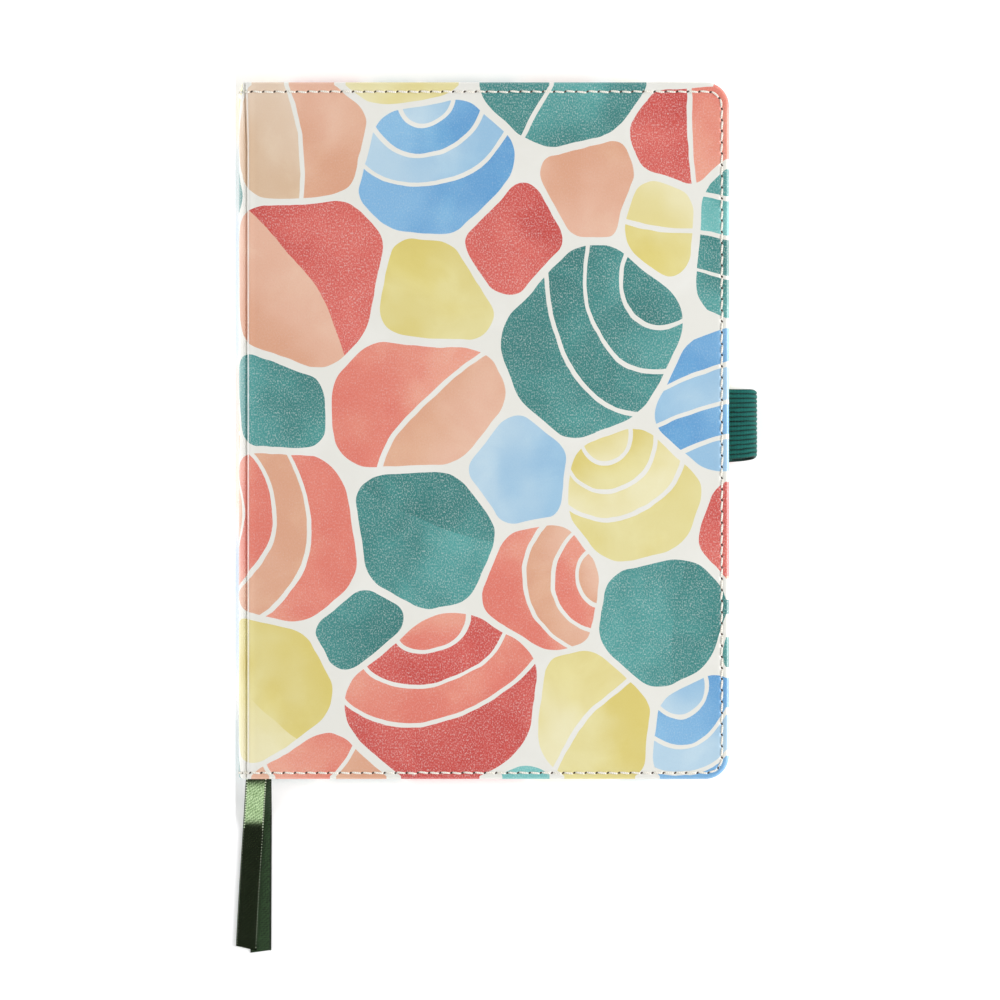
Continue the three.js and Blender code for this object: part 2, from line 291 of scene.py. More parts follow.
def leather_material():
    n = Nodes("printed_leather")
    ink = n.attribute("print")
    sheet = n.attribute("sheet").outputs["Vector"]
    grain_amount = ink.outputs["Alpha"]
    # the wash of the print: slow light and dark pools
    wash = n.noise(sheet, 0.05, 4.0, 0.55, 0.5)
    base = n.mix(n.ramp(wash, 0.48, 0.72, 0.0, 0.34), ink.outputs["Color"], (1.0, 0.99, 0.95), "SOFT_LIGHT")
    base = n.mix(n.ramp(wash, 0.50, 0.25, 0.0, 0.22), base, (0.28, 0.29, 0.29), "SOFT_LIGHT")
    # light flecks where the ink missed the valleys of the grain
    fleck = n.noise(n.vector("MULTIPLY", sheet, (1.0, 0.7, 1.0)), 2.5, 2.0, 0.7)
    patch = n.noise(sheet, 0.16, 2.0, 0.5)
    light = n.math("MULTIPLY", n.math("MULTIPLY", n.ramp(fleck, 0.50, 0.70, 0.0, 0.62), grain_amount), n.ramp(patch, 0.25, 0.7, 0.55, 1.0))
    base = n.mix(light, base, (0.86, 0.88, 0.85))
    dark = n.math("MULTIPLY", n.ramp(fleck, 0.46, 0.28, 0.0, 0.22), grain_amount)
    base = n.mix(dark, base, (0.03, 0.05, 0.05))
    # the ridge beside the joint is painted pale: a painted highlight along it
    off_ridge = n.math("ABSOLUTE", n.math("SUBTRACT", n.math("ABSOLUTE", n.split(sheet)[0]), 11.08))
    painted_ridge_highlight = n.math("MULTIPLY", n.ramp(off_ridge, 0.40, 0.12, 0.0, 0.78), n.ramp(patch, 0.25, 0.6, 0.6, 1.0))
    base = n.mix(painted_ridge_highlight, base, (0.96, 0.955, 0.94))
    n.colour(base)
    pebble = n.noise(sheet, 1.25, 3.0, 0.55)
    slow = n.noise(sheet, 0.09, 2.0, 0.5)
    height = n.math("ADD", n.math("MULTIPLY", pebble, 0.7), n.math("MULTIPLY", slow, 1.6))
    n.bump(height, 0.5, 0.00006)
    n.roughness(n.ramp(pebble, 0.3, 0.7, 0.34, 0.46))
    n.set(Specular_IOR_Level=0.5, Coat_Weight=0.55, Coat_Roughness=0.22)
    return n.material


def thread_material(name, colour, shade, pitch=0.55):
    n = Nodes(name)
    along = n.split(n.attribute("ply").outputs["Vector"])
    wave = n.math("SINE", n.math("MULTIPLY", n.math("ADD", n.math("MULTIPLY", along[0], 1.0 / pitch), along[1]), 2 * math.pi))
    fibre = n.noise(n.join(n.math("MULTIPLY", along[0], 1.2), n.math("MULTIPLY", along[1], 9.0), along[2]), 3.0, 3.0, 0.6)
    twist = n.math("ADD", n.math("MULTIPLY", wave, 0.5), n.math("MULTIPLY", fibre, 0.6))
    n.colour(n.mix(n.ramp(twist, -0.2, 0.7, 0.0, 1.0), tuple(lin(shade)), tuple(lin(colour))))
    n.bump(twist, 0.8, 0.00008)
    n.roughness(n.ramp(fibre, 0.3, 0.7, 0.50, 0.68))
    n.set(Specular_IOR_Level=0.4, Sheen_Weight=0.25, Sheen_Roughness=0.5)
    return n.material


def elastic_material():
    n = Nodes("ribbed_elastic")
    knit = n.attribute("knit").outputs["Vector"]
    parts = n.split(knit)
    rib = n.attribute("rib").outputs["Fac"]
    loops = n.math("SINE", n.math("MULTIPLY", n.math("ADD", parts[0], n.math("MULTIPLY", n.math("SINE", n.math("MULTIPLY", parts[1], 2 * math.pi / 0.75)), 0.12)), 2 * math.pi / 0.62))
    fuzz = n.noise(n.vector("MULTIPLY", knit, (1.0, 2.2, 1.0)), 2.6, 3.0, 0.62)
    slow = n.noise(n.vector("MULTIPLY", knit, (0.25, 1.0, 1.0)), 0.8, 2.0, 0.5)
    # the tone follows rib height: darker in the valleys between ribs, painted shade, over the knit's random fuzz
    tone = n.math("ADD", n.math("MULTIPLY", loops, 0.12), n.math("ADD", n.math("MULTIPLY", fuzz, 0.75), n.math("ADD", n.math("MULTIPLY", rib, 0.95), n.math("MULTIPLY", slow, 0.35))))
    outside = n.mix(n.ramp(tone, 0.55, 1.85, 0.0, 1.0), tuple(lin("#021c1b")), tuple(lin("#15776d")))
    # the inner face of the band (knit z below -1) is painted dark: painted shade inside the loop
    n.colour(n.mix(n.math("LESS_THAN", parts[2], -1.0), outside, tuple(lin("#052e29"))))
    n.bump(n.math("ADD", n.math("MULTIPLY", loops, 0.4), fuzz), 0.8, 0.00010)
    n.set(Roughness=0.78, Specular_IOR_Level=0.3, Sheen_Weight=0.18, Sheen_Roughness=0.4)
    return n.material


def satin_material(name, dark, bright, shade, metallic, rough, strength):
    n = Nodes(name)
    weave = n.attribute("weave").outputs["Vector"]
    parts = n.split(weave)
    edge = n.attribute("selvedge").outputs["Fac"]
    # floats of the satin: short slanting stitches that drift, two ways crossing
    drift = n.math("MULTIPLY", n.noise(weave, 0.55, 2.0, 0.5), 9.0)
    one = n.math("SINE", n.math("ADD", n.math("MULTIPLY", n.math("ADD", parts[0], n.math("MULTIPLY", parts[1], 0.9)), 2 * math.pi / 1.25), drift))
    two = n.math("SINE", n.math("SUBTRACT", n.math("MULTIPLY", n.math("SUBTRACT", parts[0], n.math("MULTIPLY", parts[1], 0.8)), 2 * math.pi / 1.05), drift))
    yarn = n.noise(n.vector("MULTIPLY", weave, (0.9, 1.7, 1.0)), 2.1, 3.0, 0.65)
    slow = n.noise(weave, 0.35, 2.0, 0.5)
    cloth = n.math("ADD", n.math("MULTIPLY", n.math("MULTIPLY", one, two), 0.20), n.math("ADD", n.math("MULTIPLY", one, 0.12), n.math("ADD", n.math("MULTIPLY", yarn, 0.75), n.math("MULTIPLY", slow, 0.30))))
    ground = n.mix(n.ramp(cloth, 0.22, 0.82, 0.0, 1.0), tuple(lin(dark)), tuple(lin(bright)))
    n.colour(n.mix(n.ramp(edge, 0.15, 0.75, 0.0, 0.92), ground, tuple(lin(shade))))
    n.bump(cloth, strength, 0.00004)
    n.roughness(n.ramp(yarn, 0.3, 0.7, rough - 0.03, rough + 0.06))
    n.set(Metallic=metallic, Specular_IOR_Level=0.4)
    return n.material


def picot_material(name, colour, shade):
    n = Nodes(name)
    weave = n.attribute("weave").outputs["Vector"]
    fibre = n.noise(n.vector("MULTIPLY", weave, (3.0, 3.0, 1.0)), 1.0, 2.0, 0.6)
    n.colour(n.mix(n.ramp(fibre, 0.3, 0.7, 0.0, 1.0), tuple(lin(shade)), tuple(lin(colour))))
    n.bump(fibre, 0.4, 0.00004)
    n.roughness(n.ramp(fibre, 0.3, 0.7, 0.42, 0.55))
    n.set(Metallic=0.35, Specular_IOR_Level=0.4)
    return n.material


def paper_material(name, colour, dots=False, edge_shade=0.86, rest=None):
    n = Nodes(name)
    place = n.attribute(rest).outputs["Vector"] if rest else position_mm(n)
    x, y, z = n.split(place)
    fibre = n.noise(place, 0.5, 4.0, 0.62)
    fine = n.noise(place, 4.0, 2.0, 0.5)
    base = n.mix(n.ramp(fibre, 0.3, 0.7, 0.0, 0.05), colour, tuple(c * 0.86 for c in colour))
    normal = n.new("ShaderNodeTexCoord").outputs["Normal"]
    up = n.math("ABSOLUTE", n.split(normal)[2])
    face = 1.0 if rest else n.math("GREATER_THAN", up, 0.7)
    leaf = n.new("ShaderNodeTexWhiteNoise", noise_dimensions="1D")
    n.link(n.math("FLOOR", n.math("MULTIPLY", z, 1.0 / LEAF_T)), leaf.inputs["W"])
    side = n.math("MULTIPLY", n.math("SUBTRACT", 1.0, face), n.ramp(leaf.outputs["Value"], 0.0, 1.0, 0.0, 0.5))
    base = n.mix(side, base, tuple(c * edge_shade for c in colour))
    if dots:
        def cell(value, offset):
            return n.math("SUBTRACT", n.math("FRACT", n.math("ADD", n.math("MULTIPLY", value, 0.2), offset)), 0.5)
        dx, dy = cell(x, 0.46), cell(y, 0.5)
        radius = n.math("SQRT", n.math("ADD", n.math("MULTIPLY", dx, dx), n.math("MULTIPLY", dy, dy)))
        dot = n.ramp(radius, 0.056, 0.040, 0.0, 1.0)
        inside = n.math("MULTIPLY", n.math("LESS_THAN", n.math("ABSOLUTE", y), 98.5), n.math("MULTIPLY", n.math("GREATER_THAN", x, -74.0), n.math("LESS_THAN", x, 63.5)))
        dot = n.math("MULTIPLY", n.math("MULTIPLY", dot, face), n.math("MULTIPLY", inside, 0.62))
        base = n.mix(dot, base, tuple(lin("#8d918f")))
    n.colour(base)
    n.bump(n.math("ADD", fibre, n.math("MULTIPLY", fine, 0.3)), 0.25, 0.00005)
    n.set(Roughness=0.88, Specular_IOR_Level=0.25)
    return n.material


def cloth_material(name, colour, shade, pitch=0.7):
    n = Nodes(name)
    place = position_mm(n)
    x, y, z = n.split(place)
    a = n.math("SINE", n.math("MULTIPLY", y, 2 * math.pi / pitch))
    b = n.math("SINE", n.math("MULTIPLY", z, 2 * math.pi / pitch))
    weave = n.math("MULTIPLY", a, b)
    fuzz = n.noise(place, 2.0, 3.0, 0.6)
    tone = n.math("ADD", n.math("MULTIPLY", weave, 0.3), fuzz)
    n.colour(n.mix(n.ramp(tone, 0.2, 0.9, 0.0, 1.0), tuple(lin(shade)), tuple(lin(colour))))
    n.bump(tone, 0.6, 0.00012)
    n.set(Roughness=0.92, Specular_IOR_Level=0.2)
    return n.material


def board_material(name, colour, shade):
    n = Nodes(name)
    place = position_mm(n)
    fibre = n.noise(n.vector("MULTIPLY", place, (0.3, 1.0, 1.0)), 0.9, 4.0, 0.65)
    layers = n.noise(n.vector("MULTIPLY", place, (0.05, 0.05, 6.0)), 1.0, 2.0, 0.5)
    tone = n.math("ADD", n.math("MULTIPLY", fibre, 0.7), n.math("MULTIPLY", layers, 0.3))
    n.colour(n.mix(n.ramp(tone, 0.3, 0.7, 0.0, 1.0), tuple(lin(shade)), tuple(lin(colour))))
    n.bump(tone, 0.4, 0.00010)
    n.set(Roughness=0.94, Specular_IOR_Level=0.2)
    return n.material


def band_material():
    n = Nodes("band_cloth")
    wrap = n.split(n.attribute("wrap").outputs["Vector"])
    stripe = n.math("SINE", n.math("MULTIPLY", wrap[0], 2 * math.pi / 1.6))
    fibre = n.noise(n.join(n.math("MULTIPLY", wrap[0], 6.0), wrap[1], wrap[2]), 2.0, 3.0, 0.6)
    n.colour(n.mix(n.ramp(stripe, -0.15, 0.15, 0.0, 1.0), tuple(lin("#2a706b")), tuple(lin("#efe7d6"))))
    n.bump(fibre, 0.5, 0.00008)
    n.roughness(n.ramp(fibre, 0.3, 0.7, 0.55, 0.75))
    n.set(Specular_IOR_Level=0.35)
    return n.material


LEATHER = leather_material()
THREAD = thread_material("stitching_thread", "#fffdf6", "#e9e1cf")
SEWING = thread_material("sewing_thread", "#fbfaf6", "#d8d3c6", 0.4)
ELASTIC = elastic_material()
SATIN = satin_material("satin_ribbon", "#648a4c", "#d2ebbb", "#101d0d", 1.0, 0.19, 0.45)
SATIN_BACK = satin_material("satin_ribbon_back", "#0a1707", "#35522f", "#060d05", 0.0, 0.5, 0.8)
PICOT = picot_material("picot_yarn", "#f0fbe2", "#c4dab4")
# a darker copy of the same picot yarn for the lower ribbon: painted shade
PICOT_SHADED = picot_material("picot_yarn_painted_shade", "#66765a", "#3b4a34")
PAGE = paper_material("page_paper", tuple(lin("#f6f1e4")), dots=True)
PAGE_FOLDED = paper_material("page_paper_folded", tuple(lin("#f6f1e4")), dots=True, rest="rest")
FLY = paper_material("fly_paper", tuple(lin("#f2ece0")))
LINING = paper_material("lining_paper", tuple(lin("#4f9490")), edge_shade=0.75)
BOARD = board_material("grey_board", "#a29d92", "#857f74")
CARD = board_material("inlay_card", "#bfa781", "#a48c66")
MULL = cloth_material("spine_cloth", "#ebe6da", "#b9b2a2")
BAND = band_material()

# ------------------------------------------------------------- ribbon markers


def ribbon(name, path, width, thickness, end_slant=0.0, start_slant=0.0, cup=0.0, columns=13):
    """A woven band along a path of (x, y, z), with picot loops on both edges."""
    path = np.asarray(path, float)
    step = np.r_[0, np.cumsum(np.linalg.norm(np.diff(path, axis=0), axis=1))]
    total = step[-1]
    count = max(3, int(total / 0.7))
    s = np.linspace(0, total, count)
    p = np.stack([np.interp(s, step, path[:, k]) for k in range(3)], 1)
    # soften the corners of the sampled path
    for _ in range(2):
        p[1:-1] = (p[:-2] + 2 * p[1:-1] + p[2:]) / 4
    t = np.gradient(p, axis=0)
    t /= np.linalg.norm(t, axis=1)[:, None]
    side = np.array([1.0, 0, 0]) - t * t[:, :1]
    side /= np.linalg.norm(side, axis=1)[:, None]
    up = np.cross(t, side)
    up *= np.sign(up[:, 2])[:, None]
    across = np.array([-1, -0.93, -0.86, -0.80, -0.6, -0.3, 0, 0.3, 0.6, 0.80, 0.86, 0.93, 1])
    channel = np.interp(np.abs(across), [0.80, 0.86, 0.93, 1.0], [0.0, 0.05, 0.05, 0.03])
    b = Builder()
    surfaces = []
    for sign in (1, -1):
        rows = []
        for i in range(count):
            lift = cup * (across**2 - 0.33)
            q = p[i] + np.outer(across * width / 2, side[i]) + np.outer(sign * (thickness / 2 - channel) + lift, up[i])
            slide = 0.0
            if end_slant and total - s[i] < 3:
                slide = end_slant * (1 - (total - s[i]) / 3) ** 2
            elif start_slant and s[i] < 3:
                slide = start_slant * (1 - s[i] / 3) ** 2
            q = q + np.outer(across * slide, t[i])
            rows.append(q)
        rows = np.concatenate(rows)
        weave = np.stack([np.repeat(s, columns), np.tile(across * width / 2, count), np.full(len(rows), sign * 9.0)], 1)
        selvedge = np.tile(np.interp(np.abs(across), [0.80, 0.86, 1.0], [0.0, 1.0, 1.0]), count)
        surfaces.append(b.add(rows, [], weave=weave, selvedge=selvedge))
    top, low = surfaces
    # t runs towards -Y, so the top rows turn the other way round
    b.f += grid_faces(count, columns, top, flip=np.cross(t[0], side[0])[2] > 0)
    b.f += grid_faces(count, columns, low, flip=np.cross(t[0], side[0])[2] < 0)
    flip = np.cross(t[0], side[0])[2] > 0
    for i in range(count - 1):
        for j, mirror in ((0, False), (columns - 1, True)):
            q = (top + i * columns + j, top + (i + 1) * columns + j, low + (i + 1) * columns + j, low + i * columns + j)
            b.f.append(q[::-1] if mirror != flip else q)
    for j in range(columns - 1):
        for i, mirror in ((0, True), (count - 1, False)):
            q = (top + i * columns + j, top + i * columns + j + 1, low + i * columns + j + 1, low + i * columns + j)
            b.f.append(q[::-1] if mirror != flip else q)
    # picot loops: small beads of yarn in step along both edges, drawn in where the ribbon lies flat
    b.cloth_faces = len(b.f)
    ring, caps = 8, 4
    for hand in (-1, 1):
        for centre in np.arange(0.5, total - 0.3, 0.9):
            shift = 0.45 if hand > 0 else 0
            at = np.array([np.interp(centre + shift, s, p[:, k]) for k in range(3)])
            i = min(count - 1, int((centre + shift) / total * (count - 1)))
            stand = 0.62 + 0.38 * smooth((abs(t[i][2]) - 0.05) / 0.2)
            at = at + side[i] * hand * (width / 2 - 0.10 - 0.26 * stand) + up[i] * cup * 0.5
            if end_slant and total - s[i] < 3:
                at = at + t[i] * hand * end_slant * (1 - (total - s[i]) / 3) ** 2
            verts = []
            for k in range(caps + 1):
                a = math.pi * k / caps
                for m in range(ring):
                    c = 2 * math.pi * m / ring
                    verts.append(at + t[i] * 0.25 * stand * math.cos(a) + side[i] * 0.29 * stand * math.sin(a) * math.cos(c) + up[i] * 0.19 * stand * math.sin(a) * math.sin(c))
            faces = grid_faces(caps + 1, ring, 0, closed=True)[ring:-ring]
            first = [verts[0]] + verts[ring:-ring] + [verts[-1]]
            fan = []
            n_mid = caps - 1
            for m in range(ring):
                fan.append((0, 1 + (m + 1) % ring, 1 + m))
                fan.append((1 + (n_mid - 1) * ring + m, 1 + (n_mid - 1) * ring + (m + 1) % ring, 1 + n_mid * ring))
            body = [tuple(v - ring + 1 for v in f) for f in faces]
            weave = np.tile([centre * 3.7, hand * 3.0, 9.0], (len(first), 1)) + np.array(first) - at
            b.add(first, [f[::-1] for f in body] + [f[::-1] for f in fan], weave=weave, selvedge=np.ones(len(first)))
    return b, p, total


def picots(obj, b, material):
    """Give the beads of a ribbon their own yarn."""
    obj.data.materials.append(material)
    obj.data.polygons.foreach_set("material_index", [0] * b.cloth_faces + [1] * (len(b.f) - b.cloth_faces))


def tail_path(z_out, z_lie, fall0, fall1, end, x0, x1, lean=0.0):
    y = np.r_[np.linspace(-103.05, fall0, 3)[:-1], np.linspace(fall0, fall1, 50)[:-1], np.linspace(fall1, end, 50)]
    u = np.clip((fall0 - y) / (fall0 - fall1), 0, 1)
    z = z_out + (z_lie - z_out) * u * u * (3 - 2 * u)
    w = (y + 103.3) / (end + 103.3)
    x = x0 + (x1 - x0) * w - lean * w * (1 - w)
    return np.stack([x, y, z], 1)


CLOTH_W = 6.45
for name, line, slant, stuff, yarn in (
    ("ribbon_upper", tail_path(9.195, 0.66, -105.2, -123.0, -159.0, -73.5, -77.1, 0.9), 0.6, SATIN, PICOT),
    ("ribbon_lower", tail_path(6.695, 0.2, -104.5, -119.5, -160.0, -72.4, -72.6), -0.45, SATIN_BACK, PICOT_SHADED),
):
    made, centre, total = ribbon(name, line, CLOTH_W, 0.22, end_slant=slant, cup=0.05)
    tail = made.make(name + "_tail_cloth", stuff, "rear_half", 50, "satin_ribbon", [name + "_tail"])
    picots(tail, made, yarn)
for name, x, z, stuff, yarn in (("ribbon_upper", -73.5, 9.195, SATIN, PICOT), ("ribbon_lower", -72.4, 6.695, SATIN_BACK, PICOT_SHADED)):
    line = np.stack([np.full(40, x), np.linspace(102.6, -103.0, 40), np.full(40, z)], 1)
    made, centre, total = ribbon(name, line, CLOTH_W, 0.2)
    piece = made.make(name + "_inner_cloth", stuff, "rear_half", 50, "satin_ribbon", [name + "_inner"])
    picots(piece, made, yarn)

# --------------------------------------------------------- the sheet of leather
# section of the front half, from mid thickness over the shoulder and the crease
section = [(SPINE_X + 2.3 * (abs(z - MID) / MID) ** 4, z) for z in np.linspace(MID, 16.6, 12)]
section += [(-77.84, 17.40), (-77.60, 17.86), (-77.34, 18.16), (-77.10, 18.27), (-76.92, 18.18), (-76.78, 17.98), (-76.64, 17.88),
            (-76.50, 17.98), (-76.36, 18.24), (-76.18, 18.52), (-75.9, 18.72), (-75.5, 18.79), (-75.0, 18.77), (-74.4, 18.72), (-73.9, 18.70), (-73.0, 18.70)]
section = np.array(section)


def spline(points, count):
    """Centripetal curve through the points."""
    points = np.asarray(points)
    padded = np.vstack([2 * points[0] - points[1], points, 2 * points[-1] - points[-2]])
    out = []
    for i in range(len(points) - 1):
        p0, p1, p2, p3 = padded[i : i + 4]
        d1, d2, d3 = (max(np.linalg.norm(b - a), 1e-9) ** 0.5 for a, b in ((p0, p1), (p1, p2), (p2, p3)))
        m1 = (p1 - p0) / d1 - (p2 - p0) / (d1 + d2) + (p2 - p1) / d2
        m2 = (p2 - p1) / d2 - (p3 - p1) / (d2 + d3) + (p3 - p2) / d3
        m1, m2 = m1 * d2, m2 * d2
        t = np.linspace(0, 1, count, endpoint=False)[:, None]
        out.append((2 * t**3 - 3 * t**2 + 1) * p1 + (t**3 - 2 * t**2 + t) * m1 + (-2 * t**3 + 3 * t**2) * p2 + (t**3 - t**2) * m2)
    out.append(points[-1:])
    return np.vstack(out)


# the shoulder starts at mid thickness, where it meets its mirror image square to the plane
mirror = section[1:4][::-1] * [1, -1] + [0, THICK]
curve = spline(np.vstack([mirror, section]), 16)[3 * 16 :]
curve_u = np.r_[0, np.cumsum(np.linalg.norm(np.diff(curve, axis=0), axis=1))]
U_COVER = float(np.interp(COVER_SPINE_X, curve[-200:, 0], curve_u[-200:]))
U_SHOULDER = float(curve_u[np.argmin(np.abs(curve[:, 0] + 77.10) + (curve[:, 1] < 18.2) * 9)])
U_SHIFT = U_COVER - COVER_SPINE_X            # u = x + U_SHIFT on the front cover
U_EDGE = FORE_X - RIM_R + U_SHIFT            # where the fore rim starts to turn down
Y_EDGE = HALF_H - RIM_R
R_EDGE = CORNER_R - RIM_R


def place(u):
    """(x, z, tangent x, tangent z) on the middle of the sheet's outer face."""
    u = np.asarray(u, float)
    a = np.abs(u)
    x = np.where(a > U_COVER, COVER_SPINE_X + (a - U_COVER), np.interp(a, curve_u, curve[:, 0]))
    z = np.where(a > U_COVER, THICK, np.interp(a, curve_u, curve[:, 1]))
    e = 0.04
    x1 = np.where(a + e > U_COVER, COVER_SPINE_X + (a + e - U_COVER), np.interp(a + e, curve_u, curve[:, 0]))
    z1 = np.where(a + e > U_COVER, THICK, np.interp(a + e, curve_u, curve[:, 1]))
    low = a - e
    x0 = np.where(low > U_COVER, COVER_SPINE_X + (low - U_COVER), np.interp(np.abs(low), curve_u, curve[:, 0]))
    z0 = np.where(low > U_COVER, THICK, np.interp(np.abs(low), curve_u, curve[:, 1]))
    z0 = np.where(low < 0, THICK - z0, z0)
    tx, tz = x1 - x0, z1 - z0
    length = np.hypot(tx, tz)
    tx, tz = tx / length, tz / length
    back = u < 0
    # on the back half the sheet runs the other way, mirrored in mid thickness
    return x, np.where(back, THICK - z, z), np.where(back, -tx, tx), tz


def frame_at(u):
    """Point, tangent along u and outward normal, as rows."""
    x, z, tx, tz = place(u)
    zero = np.zeros_like(x)
    p = np.stack([x, zero, z], -1)
    t = np.stack([tx, zero, tz], -1)
    n = np.stack([-tz, zero, tx], -1)
    return p, t, n


# ---------------------------------------------------------------- stitch line
STITCH_X = FORE_X - 2.2
STITCH_HEAD, STITCH_TAIL = HALF_H - 2.9, -HALF_H + 1.9
STITCH_R = 4.5
PITCH = 3.42
STITCH_MID_Y = (STITCH_HEAD + STITCH_TAIL) / 2
STITCH_HALF_Y = (STITCH_HEAD - STITCH_TAIL) / 2


def stitch_distance(u, y):
    """Signed distance to the line that the needle followed."""
    qx = np.abs(u) - (STITCH_X + U_SHIFT - STITCH_R)
    qy = np.abs(y - STITCH_MID_Y) - (STITCH_HALF_Y - STITCH_R)
    return np.hypot(np.maximum(qx, 0), np.maximum(qy, 0)) + np.minimum(np.maximum(qx, qy), 0) - STITCH_R


def stitch_line():
    """The needle's path on the sheet from the back fore edge over the spine: one closed line."""
    ue = STITCH_X + U_SHIFT
    pts = []

    def arc(cx, cy, a0, a1, steps=10):
        for i in range(steps + 1):
            a = math.radians(a0 + (a1 - a0) * i / steps)
            pts.append((cx + STITCH_R * math.cos(a), cy + STITCH_R * math.sin(a)))

    arc(ue - STITCH_R, STITCH_TAIL + STITCH_R, -90, 0)
    arc(ue - STITCH_R, STITCH_HEAD - STITCH_R, 0, 90)
    arc(-ue + STITCH_R, STITCH_HEAD - STITCH_R, 90, 180)
    arc(-ue + STITCH_R, STITCH_TAIL + STITCH_R, 180, 270)
    pts.append(pts[0])
    return np.array(pts)


needle = stitch_line()
needle_s = np.r_[0, np.cumsum(np.linalg.norm(np.diff(needle, axis=0), axis=1))]
HOLES = int(round(needle_s[-1] / PITCH))
hole_s = (np.arange(HOLES) + 0.13) * needle_s[-1] / HOLES
hole_s = hole_s + np.random.default_rng(5).normal(0, 0.05, HOLES)


def on_needle(s):
    s = np.mod(s, needle_s[-1])
    return np.stack([np.interp(s, needle_s, needle[:, 0]), np.interp(s, needle_s, needle[:, 1])], -1)


hole_at = on_needle(hole_s)
hole_dir = on_needle(hole_s + 0.05) - on_needle(hole_s - 0.05)
hole_dir /= np.linalg.norm(hole_dir, axis=1)[:, None]


def relief(u, y):
    """How far the outer face stands out of its smooth form: the pull of the stitches, and slow unevenness."""
    d = stitch_distance(u, y)
    h = -0.13 * np.exp(-((d / 0.55) ** 2))
    h = h + 0.05 * np.exp(-(((d - 1.25) / 0.7) ** 2)) + 0.035 * np.exp(-(((d + 1.3) / 0.8) ** 2))
    h = h + 0.05 * (noise2(u / 23 + 5, y / 31 + 9) - 0.5) + 0.02 * (noise2(u / 7 + 3, y / 6 + 1) - 0.5)
    qx = U_EDGE - np.abs(u)
    qy = Y_EDGE - np.abs(y)
    return h * smooth(np.minimum(qx, qy) / 0.8)


# ------------------------------------------------------------------ the print
# A generic design: rounded stones packed like a pavement, some of them cut, banded or washed twice.
GROUND = "#f0efe8"
# light tone, dark tone, how much the grain of the leather shows through
INKS = {
    "teal": ("#56a4a1", "#3d8683", 1.0), "deep": ("#46918e", "#37807d", 1.0), "aqua": ("#80cac7", "#57aaa7", 0.7),
    "peach": ("#efbfa6", "#e5ad8f", 0.22), "salmon": ("#f3a690", "#ea8272", 0.5), "coral": ("#e36d63", "#d2524c", 1.0),
    "yellow": ("#ece2a4", "#e3d27c", 0.06), "cream": ("#f3ebbd", "#eadd98", 0.04), "sky": ("#8cc0e8", "#68a6da", 0.4),
    "blue": ("#c0dcee", "#a0c9e7", 0.15), "beige": ("#ecd5be", "#e2c3a4", 0.12), "dark": ("#35736f", "#275a58", 1.0),
}
shapes = []          # (outline, ink, gradient direction, where the gradient starts, its length)


def densify(points, step=0.9):
    points = np.asarray(points, float)
    out = []
    for a, b in zip(points, np.roll(points, -1, 0)):
        k = max(1, int(math.ceil(np.linalg.norm(b - a) / step)))
        out.extend(a + (b - a) * i / k for i in range(k))
    return np.array(out)


def clip(points, normal, limit, bend=0.0):
    """The part of an outline where p.normal <= limit; bend makes the cut a parabola."""
    normal = np.asarray(normal, float)
    if points is None or len(points) < 3:
        return None
    side = points @ np.array([-normal[1], normal[0]])
    middle = side.mean()
    d = points @ normal - limit - bend * (side - middle) ** 2
    out = []
    for i in range(len(points)):
        j = (i + 1) % len(points)
        if d[i] <= 0:
            out.append(points[i])
        if (d[i] <= 0) != (d[j] <= 0):
            out.append(points[i] + (points[j] - points[i]) * d[i] / (d[i] - d[j]))
    if len(out) < 3:
        return None
    # a bent cut is followed by its own curve, not by the straight chord
    out = np.array(out)
    if bend:
        dense = []
        for k in range(len(out)):
            p, q = out[k], out[(k + 1) % len(out)]
            far = np.linalg.norm(q - p)
            if far < 1.2:
                dense.append(p)
                continue
            for t in np.arange(0, 1, 0.9 / far):
                m = p + (q - p) * t
                c = m @ np.array([-normal[1], normal[0]])
                dense.append(m + normal * (limit + bend * (c - middle) ** 2 - m @ normal) if t > 0 else p)
        out = np.array(dense)
    return out


def rounded(points, radius):
    """A convex outline grown by a radius, its corners arcs."""
    out = []
    n = len(points)
    for i in range(n):
        p, q, r = points[i - 1], points[i], points[(i + 1) % n]
        a, b = q - p, r - q
        if np.linalg.norm(a) < 1e-6 or np.linalg.norm(b) < 1e-6:
            continue
        a0 = math.atan2(-a[0], a[1])
        a1 = math.atan2(-b[0], b[1])
        if a1 < a0 - 1e-9:
            a1 += 2 * math.pi
        steps = max(1, int((a1 - a0) * radius / 0.9))
        out += [(q[0] + radius * math.cos(a0 + (a1 - a0) * k / steps), q[1] + radius * math.sin(a0 + (a1 - a0) * k / steps)) for k in range(steps + 1)]
    return np.array(out)


def wander(q):
    """The hand's freedom: slow bends of the whole design and the small wander of scissors."""
    x, y = q[:, 0], q[:, 1]
    dx = 11 * (noise2(x / 46 + 7, y / 46) - 0.5) + 1.5 * (noise2(x / 13 + 3, y / 13 + 5) - 0.5) + 0.34 * (noise2(x / 3.1, y / 3.1 + 9) - 0.5)
    dy = 11 * (noise2(x / 46 + 31, y / 46 + 17) - 0.5) + 1.5 * (noise2(x / 13 + 23, y / 13) - 0.5) + 0.34 * (noise2(x / 3.1 + 40, y / 3.1) - 0.5)
    return q + np.stack([dx, dy], 1)


def lay(points, ink, lean):
    if points is None or len(points) < 3:
        return
    at = wander(densify(points))
    direction = np.array([math.cos(lean), math.sin(lean)])
    along = at @ direction
    shapes.append((at, ink, direction, float(along.min()), float(max(np.ptp(along), 1.0))))


def stone_places(seed):
    """Middles and sizes, packed without overlap over the whole sheet and a margin round it."""
    g = np.random.default_rng(seed)
    placed = []
    for radius, tries, most in ((26.0, 3000, 20), (19.0, 6000, 34), (12.0, 12000, 60)):
        count = 0
        for _ in range(tries):
            x, y = g.uniform(-205, 205), g.uniform(-135, 135)
            if all(math.hypot(x - a, y - b) > (radius + r) * 0.93 for a, b, r in placed):
                placed.append((x, y, radius * g.uniform(0.92, 1.06)))
                count += 1
                if count == most:
                    break
    return np.array(placed)


